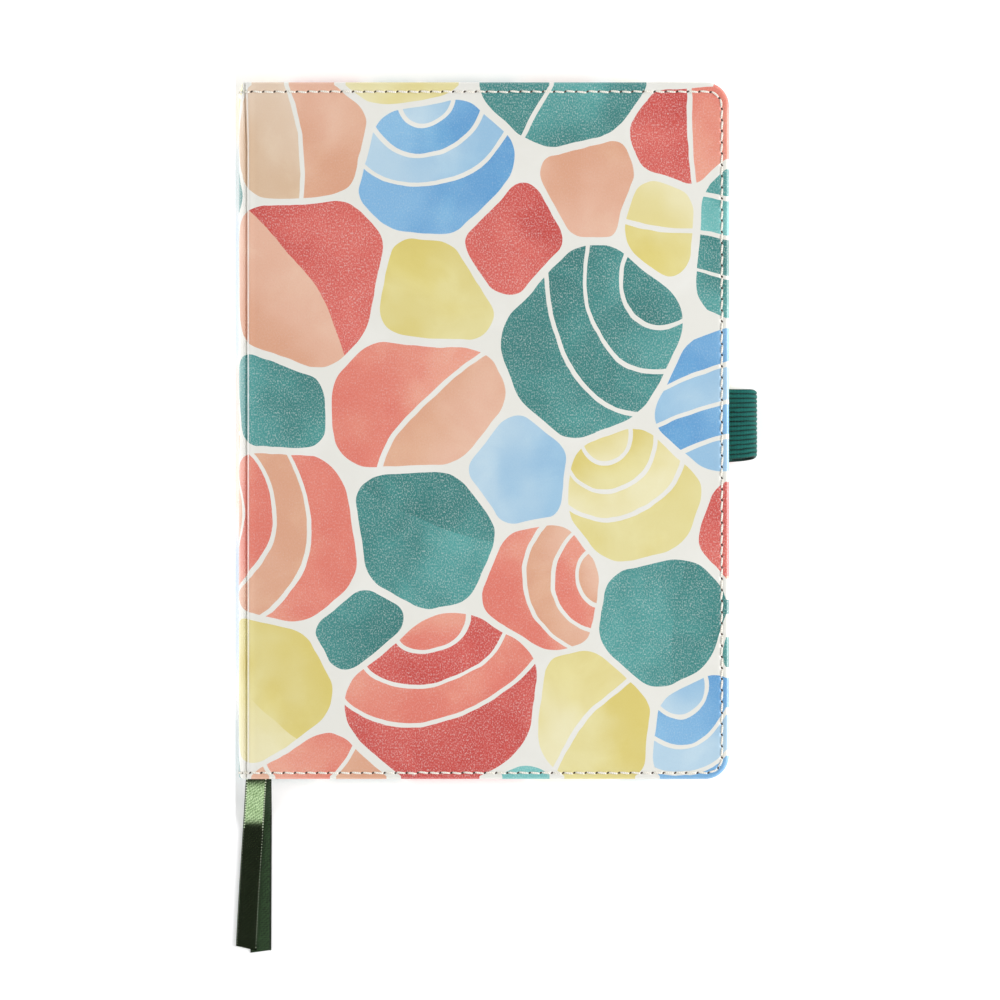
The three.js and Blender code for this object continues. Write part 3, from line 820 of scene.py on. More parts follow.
PALETTES = {
    "teal": (("deep", "teal"), ("teal", "aqua"), ("teal", "deep"), ("teal", "deep", "aqua")),
    "peach": (("peach", "salmon"), ("peach", "beige"), ("salmon", "peach"), ("beige", "peach", "salmon")),
    "yellow": (("yellow", "cream"), ("cream", "yellow"), ("yellow", "cream", "beige")),
    "blue": (("sky", "blue"), ("blue", "sky"), ("sky", "blue", "sky")),
    "coral": (("coral", "salmon"), ("coral", "peach"), ("coral", "salmon", "peach")),
}
SHARE = {"teal": 0.34, "peach": 0.20, "yellow": 0.17, "blue": 0.16, "coral": 0.13}


def pavement(seed):
    stones = stone_places(seed)
    field = np.array([(-230, -160), (230, -160), (230, 160), (-230, 160)], float)
    cells = []
    for turn in range(2):
        cells = []
        for i, (x, y, r) in enumerate(stones):
            planes = []
            order = np.argsort(np.hypot(stones[:, 0] - x, stones[:, 1] - y))[1:16]
            for j in order:
                d = stones[j, :2] - (x, y)
                far = np.linalg.norm(d)
                n = d / far
                m = (far * far + r * r - stones[j, 2] ** 2) / (2 * far) + n @ (x, y)
                planes.append((n, m, j))
            cell = field
            for n, m, _j in planes:
                cell = clip(cell, n, m)
            cells.append((cell, planes))
        if turn == 0:
            for i, (cell, _p) in enumerate(cells):
                if cell is not None:
                    stones[i, :2] = 0.4 * stones[i, :2] + 0.6 * densify(cell, 2.0).mean(0)
    g = np.random.default_rng(seed + 1)
    used = {k: 0.0 for k in SHARE}
    total = 0.0
    family = {}
    order = np.argsort(-stones[:, 2] + 0.02 * np.abs(stones[:, 0]))
    for i in order:
        x, y, r = stones[i]
        cell, planes = cells[i]
        if cell is None:
            continue
        fillet = r * g.uniform(0.46, 0.62)
        core = cell
        for n, m, _j in planes:
            core = clip(core, n, m - 1.15 - fillet)
        while core is None and fillet > 1:
            fillet *= 0.8
            core = cell
            for n, m, _j in planes:
                core = clip(core, n, m - 1.15 - fillet)
        if core is None:
            continue
        outline = densify(rounded(core, fillet))
        beside = {family[j] for _n, _m, j in planes[:7] if j in family}
        area = r * r
        lack = {k: SHARE[k] * (total + area) - used[k] - (1e9 if k in beside and len(beside) < 5 else 0) for k in SHARE}
        kind_of = max(lack, key=lack.get)
        family[i] = kind_of
        used[kind_of] += area
        total += area
        inks = PALETTES[kind_of][int(g.integers(len(PALETTES[kind_of])))]
        lean = g.uniform(0, 2 * math.pi)
        way = g.uniform(0, math.pi)
        n = np.array([math.cos(way), math.sin(way)])
        middle = outline.mean(0)
        size = 0.5 * np.ptp(outline @ n)
        choice = g.random()
        bend = g.uniform(-0.010, 0.010)
        if r < 15:
            if choice < 0.55:
                lay(outline, inks[0], lean)
            else:
                lay(clip(outline, n, middle @ n - 0.75, bend), inks[0], lean)
                lay(clip(outline, -n, -(middle @ n) - 0.75, -bend), inks[1], lean)
        elif choice < 0.30:
            lay(outline, inks[0], lean)
            lay(clip(outline, n, middle @ n + g.uniform(-0.3, 0.25) * size, bend), inks[1], lean + 1)
        elif choice < 0.52:
            cut = middle @ n + g.uniform(-0.25, 0.25) * size
            lay(clip(outline, n, cut - 0.75, bend), inks[0], lean)
            lay(clip(outline, -n, -cut - 0.75, -bend), inks[1], lean + 1)
        elif choice < 0.78:
            # arcs round a point on the rim
            lay(outline, inks[0], lean)
            c = middle + n * size * 1.02
            reach = size * g.uniform(1.28, 1.42)
            k = 1
            while reach > size * 0.3:
                disc = np.stack([c[0] + reach * np.cos(np.linspace(0, 2 * math.pi, 64, endpoint=False)), c[1] + reach * np.sin(np.linspace(0, 2 * math.pi, 64, endpoint=False))], 1)
                part, inner = outline, outline
                for a, b in zip(disc, np.roll(disc, -1, 0)):
                    e = (b - a) / np.linalg.norm(b - a)
                    out_n = np.array([e[1], -e[0]])
                    part = clip(part, out_n, a @ out_n)
                    inner = clip(inner, out_n, a @ out_n - 1.4)
                lay(part, "ground", 0)
                lay(inner, inks[k % len(inks)], lean)
                reach -= size * 0.44
                k += 1
        else:
            # bands right across
            count = int(round(2 * size / 10.5))
            width = 2 * size / count
            low = (outline @ n).min()
            for k in range(count):
                band = clip(clip(outline, n, low + (k + 1) * width - 0.7, bend), -n, -(low + k * width + 0.7), -bend)
                lay(band, inks[k % len(inks)], lean)


INKS["ground"] = (GROUND, GROUND, 0.0)
pavement(21)

boxes = np.array([[s[0][:, 0].min(), s[0][:, 0].max(), s[0][:, 1].min(), s[0][:, 1].max()] for s in shapes])


def inside_outline(points, outline):
    """Which points lie inside a closed outline."""
    x, y = points[:, 0][:, None], points[:, 1][:, None]
    a, b = outline, np.roll(outline, -1, 0)
    crosses = (a[:, 1] > y) != (b[:, 1] > y)
    with np.errstate(divide="ignore", invalid="ignore"):
        at = (b[:, 0] - a[:, 0]) * (y - a[:, 1]) / (b[:, 1] - a[:, 1]) + a[:, 0]
    return (np.sum(crosses & (x < at), 1) % 2).astype(bool)


def shape_at(points):
    """Index of the uppermost figure at each point, or -1 on the bare ground."""
    found = np.full(len(points), -1)
    for k, (outline, *_rest) in enumerate(shapes):
        b = boxes[k]
        near = np.flatnonzero((points[:, 0] > b[0]) & (points[:, 0] < b[1]) & (points[:, 1] > b[2]) & (points[:, 1] < b[3]))
        if len(near):
            found[near[inside_outline(points[near], outline)]] = k
    return found


INK_LINEAR = {k: (lin(a), lin(b), c) for k, (a, b, c) in INKS.items()}
GROUND_LINEAR = lin(GROUND)


def colours(which, points):
    """Linear colour and amount of ink for corners at points, each in the figure named by which."""
    out = np.empty((len(points), 4))
    out[:, :3] = GROUND_LINEAR
    out[:, 3] = 0.0
    for k in np.unique(which):
        if k < 0 or shapes[k][1] == "ground":
            continue
        outline, ink, direction, start, length = shapes[k]
        m = np.flatnonzero(which == k)
        p = points[m]
        a, b, grain = INK_LINEAR[ink]
        t = (p @ direction - start) / length
        t = t + 0.55 * (noise2(p[:, 0] / 9 + k, p[:, 1] / 9) - 0.5) + 0.25 * (noise2(p[:, 0] / 3.7, p[:, 1] / 3.7 + k) - 0.5)
        t = smooth(t)[:, None]
        out[m, :3] = a * (1 - t) + b * t
        out[m, 3] = grain
    return out


# ----------------------------------------------------------- pieces of leather
HOLE_A, HOLE_B = 0.47, 0.29
BACKING = lin("#cfc8b8")
# dark brown painted into the needle holes as their shade
HOLE_PAINTED_SHADE = lin("#5c4a3d")


def edge_distance(u, y):
    """Signed distance to the line where the rims start to turn down."""
    qx = np.abs(u) - (U_EDGE - R_EDGE)
    qy = np.abs(y) - (Y_EDGE - R_EDGE)
    return np.hypot(np.maximum(qx, 0), np.maximum(qy, 0)) + np.minimum(np.maximum(qx, qy), 0) - R_EDGE


def head_cap(u, y):
    """How far the head end shifts towards the block on the spine, and the joint's crease towards the spine."""
    a = np.abs(u)
    pull = 0.8 * smooth((y - 103.0) / 2.6) * smooth((U_SHOULDER - 0.2 - a) / 2.2)
    crease = 0.42 * smooth((a - (U_SHOULDER - 1.3)) / 1.3) * smooth((U_COVER - 0.15 - a) / 2.8)
    return pull - crease * smooth((y - 86.0) / 18.0)


def turn_in_depth(u, y):
    """How far below the outer face the turned-in leather lies: under the board, under the inlay, or under the pen loop."""
    a = np.abs(u)
    h = 1.17 + (2.62 - 1.17) * smooth((a - (U_COVER - 1.2)) / 1.2)
    notch = (u < -(U_EDGE - 8)) & (y > -9.85) & (y < 13.05)
    return np.where(notch, 0.95, h)


def leather(name, u0, u1, lines=(), coarse=2.3, inner="same", thin=None, backing=BACKING):
    """One piece of the cover sheet between u0 and u1, with rounded rims and turned-in edges."""
    # outline, anticlockwise: tail, far side, head, near side
    rounded_right = u1 > U_EDGE - 1e-6
    rounded_left = u0 < -U_EDGE + 1e-6

    def run(a, b, step=1.6):
        k = max(1, int(round(abs(b - a) / step)))
        return list(np.linspace(a, b, k + 1))[:-1]

    def samples(a, b):
        if lines and len(lines) > 2:
            inner_lines = [v for v in sorted(lines) if min(a, b) < v < max(a, b)]
            seq = [min(a, b)] + inner_lines
            return seq if a < b else [max(a, b)] + inner_lines[::-1]
        return run(a, b)

    outline = []
    right = u1 - R_EDGE if rounded_right else u1
    left = u0 + R_EDGE if rounded_left else u0
    outline += [(v, -Y_EDGE) for v in samples(left, right)]
    if rounded_right:
        outline += [(right + R_EDGE * math.sin(a), -Y_EDGE + R_EDGE - R_EDGE * math.cos(a)) for a in np.radians(np.linspace(0, 90, 15))[:-1]]
        outline += [(u1, v) for v in run(-Y_EDGE + R_EDGE, Y_EDGE - R_EDGE)]
        outline += [(right + R_EDGE * math.cos(a), Y_EDGE - R_EDGE + R_EDGE * math.sin(a)) for a in np.radians(np.linspace(0, 90, 15))[:-1]]
    else:
        outline += [(u1, v) for v in run(-Y_EDGE, Y_EDGE)]
    outline += [(v, Y_EDGE) for v in samples(right, left)]
    if rounded_left:
        outline += [(left - R_EDGE * math.sin(a), Y_EDGE - R_EDGE + R_EDGE * math.cos(a)) for a in np.radians(np.linspace(0, 90, 15))[:-1]]
        outline += [(u0, v) for v in run(Y_EDGE - R_EDGE, -Y_EDGE + R_EDGE)]
        outline += [(left - R_EDGE * math.cos(a), -Y_EDGE + R_EDGE - R_EDGE * math.sin(a)) for a in np.radians(np.linspace(0, 90, 15))[:-1]]
    else:
        outline += [(u0, v) for v in run(Y_EDGE, -Y_EDGE)]
    if rounded_left:
        # break the rim where the pen loop's notch begins and ends
        at = [i for i, p in enumerate(outline) if abs(p[0] - u0) < 1e-9]
        extra = [(u0, v) for v in (13.05 + 0.12, 13.05 - 0.12, -9.85 + 0.12, -9.85 - 0.12)]
        side = sorted([outline[i] for i in at] + extra, key=lambda p: -p[1])
        outline = outline[: at[0]] + side + outline[at[-1] + 1 :]
    pts = list(outline)
    count = len(pts)
    edges = [(i, (i + 1) % count) for i in range(count)]
    pad = 1.0
    # figures
    for k, (at, *_r) in enumerate(shapes):
        b = boxes[k]
        if b[1] < u0 - pad or b[0] > u1 + pad or b[3] < -Y_EDGE or b[2] > Y_EDGE:
            continue
        base = len(pts)
        pts += [tuple(p) for p in at]
        edges += [(base + i, base + (i + 1) % len(at)) for i in range(len(at))]
    # folds along the spine
    for v in lines:
        if u0 < v < u1:
            base = len(pts)
            ys = np.linspace(-Y_EDGE, Y_EDGE, 56)
            tight = np.array([-2.7, -2.05, -1.45, -0.95, -0.55, -0.27, 0, 0.27, 0.55, 0.95, 1.45, 2.05])
            ys = np.concatenate([ys[(np.abs(ys - STITCH_HEAD) > 3) & (np.abs(ys - STITCH_TAIL) > 3)], STITCH_HEAD + tight[tight < Y_EDGE - STITCH_HEAD - 0.2], STITCH_TAIL - tight[tight < STITCH_TAIL + Y_EDGE - 0.2], [-Y_EDGE, Y_EDGE]])
            ys = np.sort(ys)
            pts += [(v, y) for y in ys]
            edges += [(base + i, base + i + 1) for i in range(len(ys) - 1)]
    # rows beside the stitches, and the needle holes
    near = (hole_at[:, 0] > u0 - 2) & (hole_at[:, 0] < u1 + 2)
    s_dense = np.arange(0, needle_s[-1], 0.57)
    line = on_needle(s_dense)
    ahead = on_needle(s_dense + 0.1) - on_needle(s_dense - 0.1)
    ahead /= np.linalg.norm(ahead, axis=1)[:, None]
    across = np.stack([-ahead[:, 1], ahead[:, 0]], 1)
    for offset in (-2.1, -1.4, -0.95, -0.62, 0.62, 0.95, 1.4, 2.0):
        q = line + across * -offset
        q = q[(q[:, 0] > u0 + 0.05) & (q[:, 0] < u1 - 0.05) & (edge_distance(q[:, 0], q[:, 1]) < -0.12)]
        pts += [tuple(p) for p in q]
    q = line[(line[:, 0] > u0 + 0.05) & (line[:, 0] < u1 - 0.05)]
    gap = np.min(np.linalg.norm(q[:, None] - hole_at[near][None], axis=2), 1) if near.any() and len(q) else np.full(len(q), 9.0)
    pts += [tuple(p) for p in q[gap > 0.70]]
    rings = []
    for c, d in zip(hole_at[near], hole_dir[near]):
        if not (u0 + 0.52 < c[0] < u1 - 0.52):
            continue
        slant = math.radians(38)
        axis = np.array([d[0] * math.cos(slant) - d[1] * math.sin(slant), d[0] * math.sin(slant) + d[1] * math.cos(slant)])
        other = np.array([-axis[1], axis[0]])
        rings.append((c, axis, other))
        for scale, closed in ((1.0, True), (0.6, True)):
            base = len(pts)
            for a in np.linspace(0, 2 * math.pi, 11)[:-1]:
                pts.append(tuple(c + axis * HOLE_A * scale * math.cos(a) + other * HOLE_B * scale * math.sin(a)))
            edges += [(base + i, base + (i + 1) % 10) for i in range(10)]
        pts.append(tuple(c))
    # an even field of points
    gu = np.arange(math.floor(u0 / coarse) * coarse, u1, coarse)
    gy = np.arange(-Y_EDGE + 0.9, Y_EDGE, coarse)
    field = np.array([(a + (0.5 * coarse if j % 2 else 0), b) for j, b in enumerate(gy) for a in gu])
    keep = (field[:, 0] > u0 + 0.3) & (field[:, 0] < u1 - 0.3) & (edge_distance(field[:, 0], field[:, 1]) < -0.9)
    keep &= np.abs(stitch_distance(field[:, 0], field[:, 1])) > 2.2
    pts += [tuple(p) for p in field[keep]]
    found = delaunay_2d_cdt(pts, edges, [], 0, 1e-6, False)
    v2 = np.array([tuple(p) for p in found[0]])
    tri = np.array([f for f in found[2] if len(f) == 3])
    centre = v2[tri].mean(1)
    good = (centre[:, 0] > u0 + 1e-7) & (centre[:, 0] < u1 - 1e-7) & (edge_distance(centre[:, 0], centre[:, 1]) < -1e-5)
    area = np.cross(v2[tri[:, 1]] - v2[tri[:, 0]], v2[tri[:, 2]] - v2[tri[:, 0]])
    good &= np.abs(area) > 1e-10
    tri, centre, area = tri[good], centre[good], area[good]
    tri[area < 0] = tri[area < 0][:, ::-1]
    used = np.unique(tri)
    renumber = np.full(len(v2), -1)
    renumber[used] = np.arange(len(used))
    v2, tri = v2[used], renumber[tri]
    which = shape_at(centre)
    # place the outer face
    u, y = v2[:, 0], v2[:, 1]
    p, t, nrm = frame_at(u)
    lift = relief(u, y)
    hole_shade_mask = np.zeros(len(tri), bool)
    for c, axis, other in rings:
        near_v = np.flatnonzero((np.abs(u - c[0]) < 0.6) & (np.abs(y - c[1]) < 0.6))
        d = v2[near_v] - c
        r = np.hypot(d @ axis / HOLE_A, d @ other / HOLE_B)
        lift[near_v] -= np.interp(r, [0, 0.6, 1.0, 1.25], [0.36, 0.30, 0.07, 0.0])
        near_f = np.flatnonzero((np.abs(centre[:, 0] - c[0]) < 0.6) & (np.abs(centre[:, 1] - c[1]) < 0.6))
        d = centre[near_f] - c
        hole_shade_mask[near_f[np.hypot(d @ axis / HOLE_A, d @ other / HOLE_B) < 1.0]] = True
    outer = p + np.stack([np.zeros_like(y), y, np.zeros_like(y)], 1) + nrm * lift[:, None]
    n_top = len(outer)
    verts = [outer]
    sheet = [np.stack([u, y, np.zeros_like(u)], 1)]
    faces = [tuple(f) for f in tri]
    face_colour = []
    corner_points = v2[tri].reshape(-1, 2)
    corner_which = np.repeat(which, 3)
    col = colours(corner_which, corner_points)
    # faces inside the needle holes get painted shade instead of print and grain
    col[np.repeat(hole_shade_mask, 3), :3] = HOLE_PAINTED_SHADE
    col[np.repeat(hole_shade_mask, 3), 3] = 0.0
    face_colour.append(col)
    # boundary edges, each with its triangle on the left
    directed = np.vstack([tri[:, [0, 1]], tri[:, [1, 2]], tri[:, [2, 0]]])
    owner = np.tile(np.arange(len(tri)), 3)
    keys = {(int(a), int(b)): int(o) for (a, b), o in zip(directed, owner)}
    border = [(a, b, o) for (a, b), o in keys.items() if (b, a) not in keys]
    mid = np.array([(v2[a] + v2[b]) / 2 for a, b, _o in border])
    is_rim = np.abs(edge_distance(mid[:, 0], mid[:, 1])) < 0.02
    # the rim's section: over the edge, down the side, round and back inwards
    rim_vertices = sorted({i for (a, b, _o), r in zip(border, is_rim) if r for i in (a, b)})
    rim_index = {v: i for i, v in enumerate(rim_vertices)}
    ru, ry = v2[rim_vertices, 0], v2[rim_vertices, 1]
    qx = np.maximum(np.abs(ru) - (U_EDGE - R_EDGE), 0)
    qy = np.maximum(np.abs(ry) - (Y_EDGE - R_EDGE), 0)
    length = np.maximum(np.hypot(qx, qy), 1e-9)
    du, dy = qx / length * np.sign(ru), qy / length * np.sign(ry)
    rp, rt, rn = frame_at(ru)
    rp = rp + np.stack([0 * ry, ry, 0 * ry], 1)
    out_dir = rt * du[:, None] + np.stack([0 * dy, dy, 0 * dy], 1)
    # in the crease of the joint the turned-in leather lies straight below, not square to the slopes
    level = smooth((np.abs(ru) - (U_SHOULDER - 1.0)) / 1.0)[:, None]
    rn = rn * (1 - level) + np.stack([0 * ru, 0 * ru, np.sign(ru)], 1) * level
    rn /= np.linalg.norm(rn, axis=1)[:, None]
    deep = turn_in_depth(ru, ry)
    small = np.minimum(0.45, (deep - 0.55) * 0.6)
    soft_r = np.minimum(RIM_R, deep - small)
    over = [math.radians(a) for a in (0, 11, 23, 36, 50, 65, 78, 90)]
    under = [math.radians(a) for a in (0, 22, 45, 68, 90)]
    fg_out, fg_in, turned = [], [], []
    skin = 0.6
    for a in over[1:]:
        fg_out.append((soft_r * math.sin(a) + (RIM_R - soft_r) * math.sin(a), soft_r * (1 - math.cos(a))))
        fg_in.append(((RIM_R - skin) * math.sin(a), skin + np.maximum(soft_r - skin, 0.02) * (1 - math.cos(a))))
    thin_in = 0.28
    for a in under:
        fg_out.append((RIM_R - small + small * math.cos(a), deep - small + small * math.sin(a)))
        s_in = np.maximum(small - 0.5, 0.02)
        fg_in.append((RIM_R - skin - s_in + s_in * math.cos(a), deep - thin_in - s_in + s_in * math.sin(a)))
    # where the spine bends open the turned-in leather is cut short
    kept = 1 - 0.80 * np.exp(-((ru / 1.6) ** 4))
    for back in (1.6, 3.2, 4.8, 6.0):
        fg_out.append((RIM_R - small - back * kept, deep + 0 * ru))
        fg_in.append((RIM_R - skin - 0.02 - (back - 0.3) * kept, deep - thin_in + 0 * ru))
    if rounded_right or rounded_left:
        pass
    rings_out = []
    for f, g in fg_out:
        base = sum(len(x) for x in verts)
        f = f + 0 * ru
        verts.append(rp + out_dir * np.asarray(f)[:, None] - rn * np.asarray(g + 0 * ru)[:, None])
        # the print runs on square to the edge
        sheet.append(np.stack([ru + du * (np.asarray(f) + np.asarray(g)), ry + dy * (np.asarray(f) + np.asarray(g)), 0 * ru], 1))
        rings_out.append(base)
    rim_edges = [(a, b, o) for (a, b, o), r in zip(border, is_rim) if r]
    rim_cols = []
    for a, b, o in rim_edges:
        ia, ib = rim_index[a], rim_index[b]
        chain_a = [a] + [r + ia for r in rings_out]
        chain_b = [b] + [r + ib for r in rings_out]
        for k in range(len(chain_a) - 1):
            faces.append((chain_b[k], chain_a[k], chain_a[k + 1], chain_b[k + 1]))
            rim_cols.append((which[o], b, a, a, b))
    if rim_cols:
        w = np.repeat([r[0] for r in rim_cols], 4)
        pp = v2[np.array([r[1:] for r in rim_cols]).ravel()]
        face_colour.append(colours(w, pp))
    n_outer_faces = len(faces)
    n_outer = sum(len(x) for x in verts)
    # the inner face, a skin's thickness below
    skin_at = np.full(n_top, skin)
    if thin is not None:
        skin_at = thin(u)
    if inner == "same":
        inner_pts = p + np.stack([0 * y, y, 0 * y], 1) - nrm * skin_at[:, None]
        base_in = n_outer
        verts.append(inner_pts)
        sheet.append(np.stack([u, y, 0 * u], 1))
        faces += [tuple(int(i) + base_in for i in f[::-1]) for f in tri]
        inner_of = {i: base_in + i for i in range(n_top)}
        inner_faces = len(tri)
    else:
        ids = sorted({i for a, b, _o in border for i in (a, b)})
        base_in = n_outer
        pos = {v: k for k, v in enumerate(ids)}
        b_edges = [(pos[a], pos[b]) for a, b, _o in border]
        plain = delaunay_2d_cdt([tuple(v2[i]) for i in ids], b_edges, [], 0, 1e-7, True)
        pv = np.array([tuple(q) for q in plain[0]])
        back_to = {}
        for k, origin in enumerate(plain[3]):
            for o in origin:
                back_to[k] = o
        pt = np.array([f for f in plain[2] if len(f) == 3])
        pc = pv[pt].mean(1)
        ok = (pc[:, 0] > u0) & (pc[:, 0] < u1) & (edge_distance(pc[:, 0], pc[:, 1]) < -1e-5)
        pt = pt[ok]
        pa = np.cross(pv[pt[:, 1]] - pv[pt[:, 0]], pv[pt[:, 2]] - pv[pt[:, 0]])
        pt = pt[np.abs(pa) > 1e-10]
        pa = pa[np.abs(pa) > 1e-10]
        pt[pa < 0] = pt[pa < 0][:, ::-1]
        uu, yy = v2[ids, 0], v2[ids, 1]
        ip, _it, inn = frame_at(uu)
        verts.append(ip + np.stack([0 * yy, yy, 0 * yy], 1) - inn * skin)
        sheet.append(np.stack([uu, yy, 0 * uu], 1))
        faces += [tuple(base_in + back_to[int(i)] for i in f[::-1]) for f in pt]
        inner_of = {v: base_in + pos[v] for v in ids}
        inner_faces = len(pt)
    rings_in = []
    for f, g in fg_in:
        base = sum(len(x) for x in verts)
        f = np.asarray(f) + 0 * ru
        verts.append(rp + out_dir * f[:, None] - rn * (np.asarray(g) + 0 * ru)[:, None])
        sheet.append(np.stack([ru, ry, 0 * ru], 1))
        rings_in.append(base)
    for a, b, _o in rim_edges:
        ia, ib = rim_index[a], rim_index[b]
        chain_a = [inner_of[a]] + [r + ia for r in rings_in]
        chain_b = [inner_of[b]] + [r + ib for r in rings_in]
        for k in range(len(chain_a) - 1):
            faces.append((chain_a[k], chain_b[k], chain_b[k + 1], chain_a[k + 1]))
        # the cut edge of the turned-in leather
        faces.append((rings_out[-1] + ib, rings_out[-1] + ia, rings_in[-1] + ia, rings_in[-1] + ib))
    # the cut sides where this piece meets its neighbour
    rim_ends = {}
    for (a, b, _o), r in zip(border, is_rim):
        if not r:
            faces.append((b, a, inner_of[a], inner_of[b]))
            for v in (a, b):
                if v in rim_index:
                    rim_ends[v] = (v == a)
    for v, starts in rim_ends.items():
        i = rim_index[v]
        chain_out = [v] + [r + i for r in rings_out]
        chain_in = [inner_of[v]] + [r + i for r in rings_in]
        for k in range(len(chain_out) - 1):
            q = (chain_out[k], chain_out[k + 1], chain_in[k + 1], chain_in[k])
            faces.append(q if starts else q[::-1])
    verts = np.concatenate(verts)
    sheet = np.concatenate(sheet)
    verts[:, 0] += head_cap(sheet[:, 0], verts[:, 1])
    mesh = bpy.data.meshes.new(name)
    mesh.from_pydata((verts / 1000).tolist(), [], faces)
    mesh.update()
    # smooth normals of the outer face alone, so that the cut sides don't bend them
    loops = len(mesh.loops)
    total = np.empty((loops, 4))
    total[:, :3] = backing
    total[:, 3] = 0.0
    outer_loops = np.concatenate(face_colour)
    total[: len(outer_loops)] = outer_loops
    layer = mesh.color_attributes.new("print", "FLOAT_COLOR", "CORNER")
    layer.data.foreach_set("color", total.astype(np.float32).ravel())
    attribute = mesh.attributes.new("sheet", "FLOAT_VECTOR", "POINT")
    attribute.data.foreach_set("vector", sheet.astype(np.float32).ravel())
    normals = np.zeros((len(verts), 3))
    starts = np.empty(len(mesh.polygons), np.int32)
    sizes = np.empty(len(mesh.polygons), np.int32)
    mesh.polygons.foreach_get("loop_start", starts)
    mesh.polygons.foreach_get("loop_total", sizes)
    index = np.empty(loops, np.int32)
    mesh.loops.foreach_get("vertex_index", index)
    body_faces = n_outer_faces + inner_faces + (len(rim_edges) * (len(rings_in) + 1))
    for k in range(max(sizes)):
        m = np.flatnonzero((sizes > k) & (np.arange(len(sizes)) < body_faces))
        here = verts[index[starts[m] + k]]
        after = verts[index[starts[m] + (k + 1) % sizes[m]]] - here
        before = verts[index[starts[m] + (k - 1) % sizes[m]]] - here
        cross = np.cross(after, before)
        size = np.linalg.norm(cross, axis=1)
        angle = np.arctan2(size, np.sum(after * before, 1))
        np.add.at(normals, index[starts[m] + k], cross / np.maximum(size, 1e-12)[:, None] * angle[:, None])
    # along the cuts the neighbour's surface goes on, so the true normal is used
    cut_line = np.flatnonzero((np.abs(v2[:, 0] - u0) < 1e-6) | (np.abs(v2[:, 0] - u1) < 1e-6))
    cut_line = cut_line[[abs(edge_distance(v2[i, 0], v2[i, 1])) > 0.02 for i in cut_line]] if len(cut_line) else cut_line
    if len(cut_line):
        e = 0.05
        cu, cy = v2[cut_line, 0], v2[cut_line, 1]

        def face_point(a, b):
            q, _t, m = frame_at(a)
            return q + np.stack([0 * b, b, 0 * b], 1) + m * relief(a, b)[:, None]

        along_u = face_point(cu + e, cy) - face_point(cu - e, cy)
        along_y = face_point(cu, cy + e) - face_point(cu, cy - e)
        normals[cut_line] = np.cross(along_u, along_y)
    normals /= np.maximum(np.linalg.norm(normals, axis=1), 1e-12)[:, None]
    mesh.polygons.foreach_set("use_smooth", [True] * len(mesh.polygons))
    mesh.normals_split_custom_set_from_vertices(normals.tolist())
    mesh.materials.append(LEATHER)
    obj = bpy.data.objects.new(name, mesh)
    scene.collection.objects.link(obj)
    return obj


SHOULDER_LINES = [float(v) for v in np.r_[np.linspace(1.2, 7.2, 6), np.linspace(7.6, U_SHOULDER, 12)[:-1]]]
FOLD_LINES = [float(v) for v in np.linspace(-0.3, 0.3, 25)]
spine_lines = sorted([-v for v in SHOULDER_LINES] + FOLD_LINES + [-0.6, 0.6] + SHOULDER_LINES)
joint_lines = [float(v) for v in np.r_[np.linspace(U_SHOULDER, U_SHOULDER + 0.64, 9)[1:-1], np.linspace(U_SHOULDER + 0.64, U_COVER, 22)[:-1]]]


def fold_thin(u):
    return 0.6 - 0.3 * np.exp(-((u / 0.8) ** 2))


spine = leather("spine_leather", -U_SHOULDER, U_SHOULDER, lines=spine_lines, coarse=2.6, thin=fold_thin)
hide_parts("spine_skin_front", "spine_skin_rear")
blend(spine)
front_joint = leather("front_joint_leather", U_SHOULDER, U_COVER, lines=joint_lines, backing=lin("#4f9490"))
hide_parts("front_joint_skin")
blend(front_joint)
back_joint = leather("back_joint_leather", -U_COVER, -U_SHOULDER, lines=[-v for v in joint_lines], backing=lin("#4f9490"))
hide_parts("back_joint_skin")
blend(back_joint)
front_cover = leather("front_cover_leather", U_COVER, U_EDGE, inner="plain")
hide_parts("front_cover_skin")
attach(front_cover, "front_cover")
back_cover = leather("back_cover_leather", -U_EDGE, -U_COVER, inner="plain")
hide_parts("back_cover_skin")
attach(back_cover, "back_cover")

# ------------------------------------------------------------------- stitching


def stitches(name, chosen, inner=False):
    """Thread from hole to hole, dipping into both."""
    b = Builder()
    g = np.random.default_rng(17)
    turn = g.normal(0, 0.05, HOLES + 1)
    steps, sides = 10, 8
    for k in chosen:
        s0, s1 = hole_s[k], hole_s[(k + 1) % HOLES]
        if s1 < s0:
            s1 += needle_s[-1]
        w = np.linspace(0, 1, steps + 1)
        s = s0 + 0.36 + (s1 - s0 - 0.72) * w
        c = on_needle(s)
        d = on_needle(s + 0.1) - on_needle(s - 0.1)
        d /= np.linalg.norm(d, axis=1)[:, None]
        across = np.stack([-d[:, 1], d[:, 0]], 1)
        c = c + across * ((0.5 - w) * 0.30 + turn[k])[:, None]
        high = 0.17 * (1 - (2 * w - 1) ** 6) - 0.20 * np.abs(2 * w - 1) ** 8
        p, t, n = frame_at(c[:, 0])
        p = p + np.stack([head_cap(c[:, 0], c[:, 1]), c[:, 1], 0 * s], 1) + n * (high + relief(c[:, 0], c[:, 1]) + 0.02)[:, None]
        side = t * across[:, :1] + np.stack([0 * s, across[:, 1], 0 * s], 1)
        half = 0.31 * (0.66 + 0.34 * (1 - np.abs(2 * w - 1) ** 3))
        tall = 0.18 * (0.7 + 0.3 * (1 - np.abs(2 * w - 1) ** 3))
        rows = []
        ply = []
        for m in range(sides):
            a = 2 * math.pi * m / sides
            rows.append(p + side * (half * math.cos(a))[:, None] + n * (tall * math.sin(a))[:, None])
            ply.append(np.stack([s, np.full(len(s), m / sides), np.full(len(s), k * 1.0)], 1))
        rows = np.stack(rows, 1).reshape(-1, 3)
        ply = np.stack(ply, 1).reshape(-1, 3)
        faces = grid_faces(steps + 1, sides, 0, closed=True)
        faces.append(tuple(range(sides)))
        faces.append(tuple(steps * sides + m for m in range(sides))[::-1])
        b.add(rows, [f[::-1] for f in faces], ply=ply)
    return b


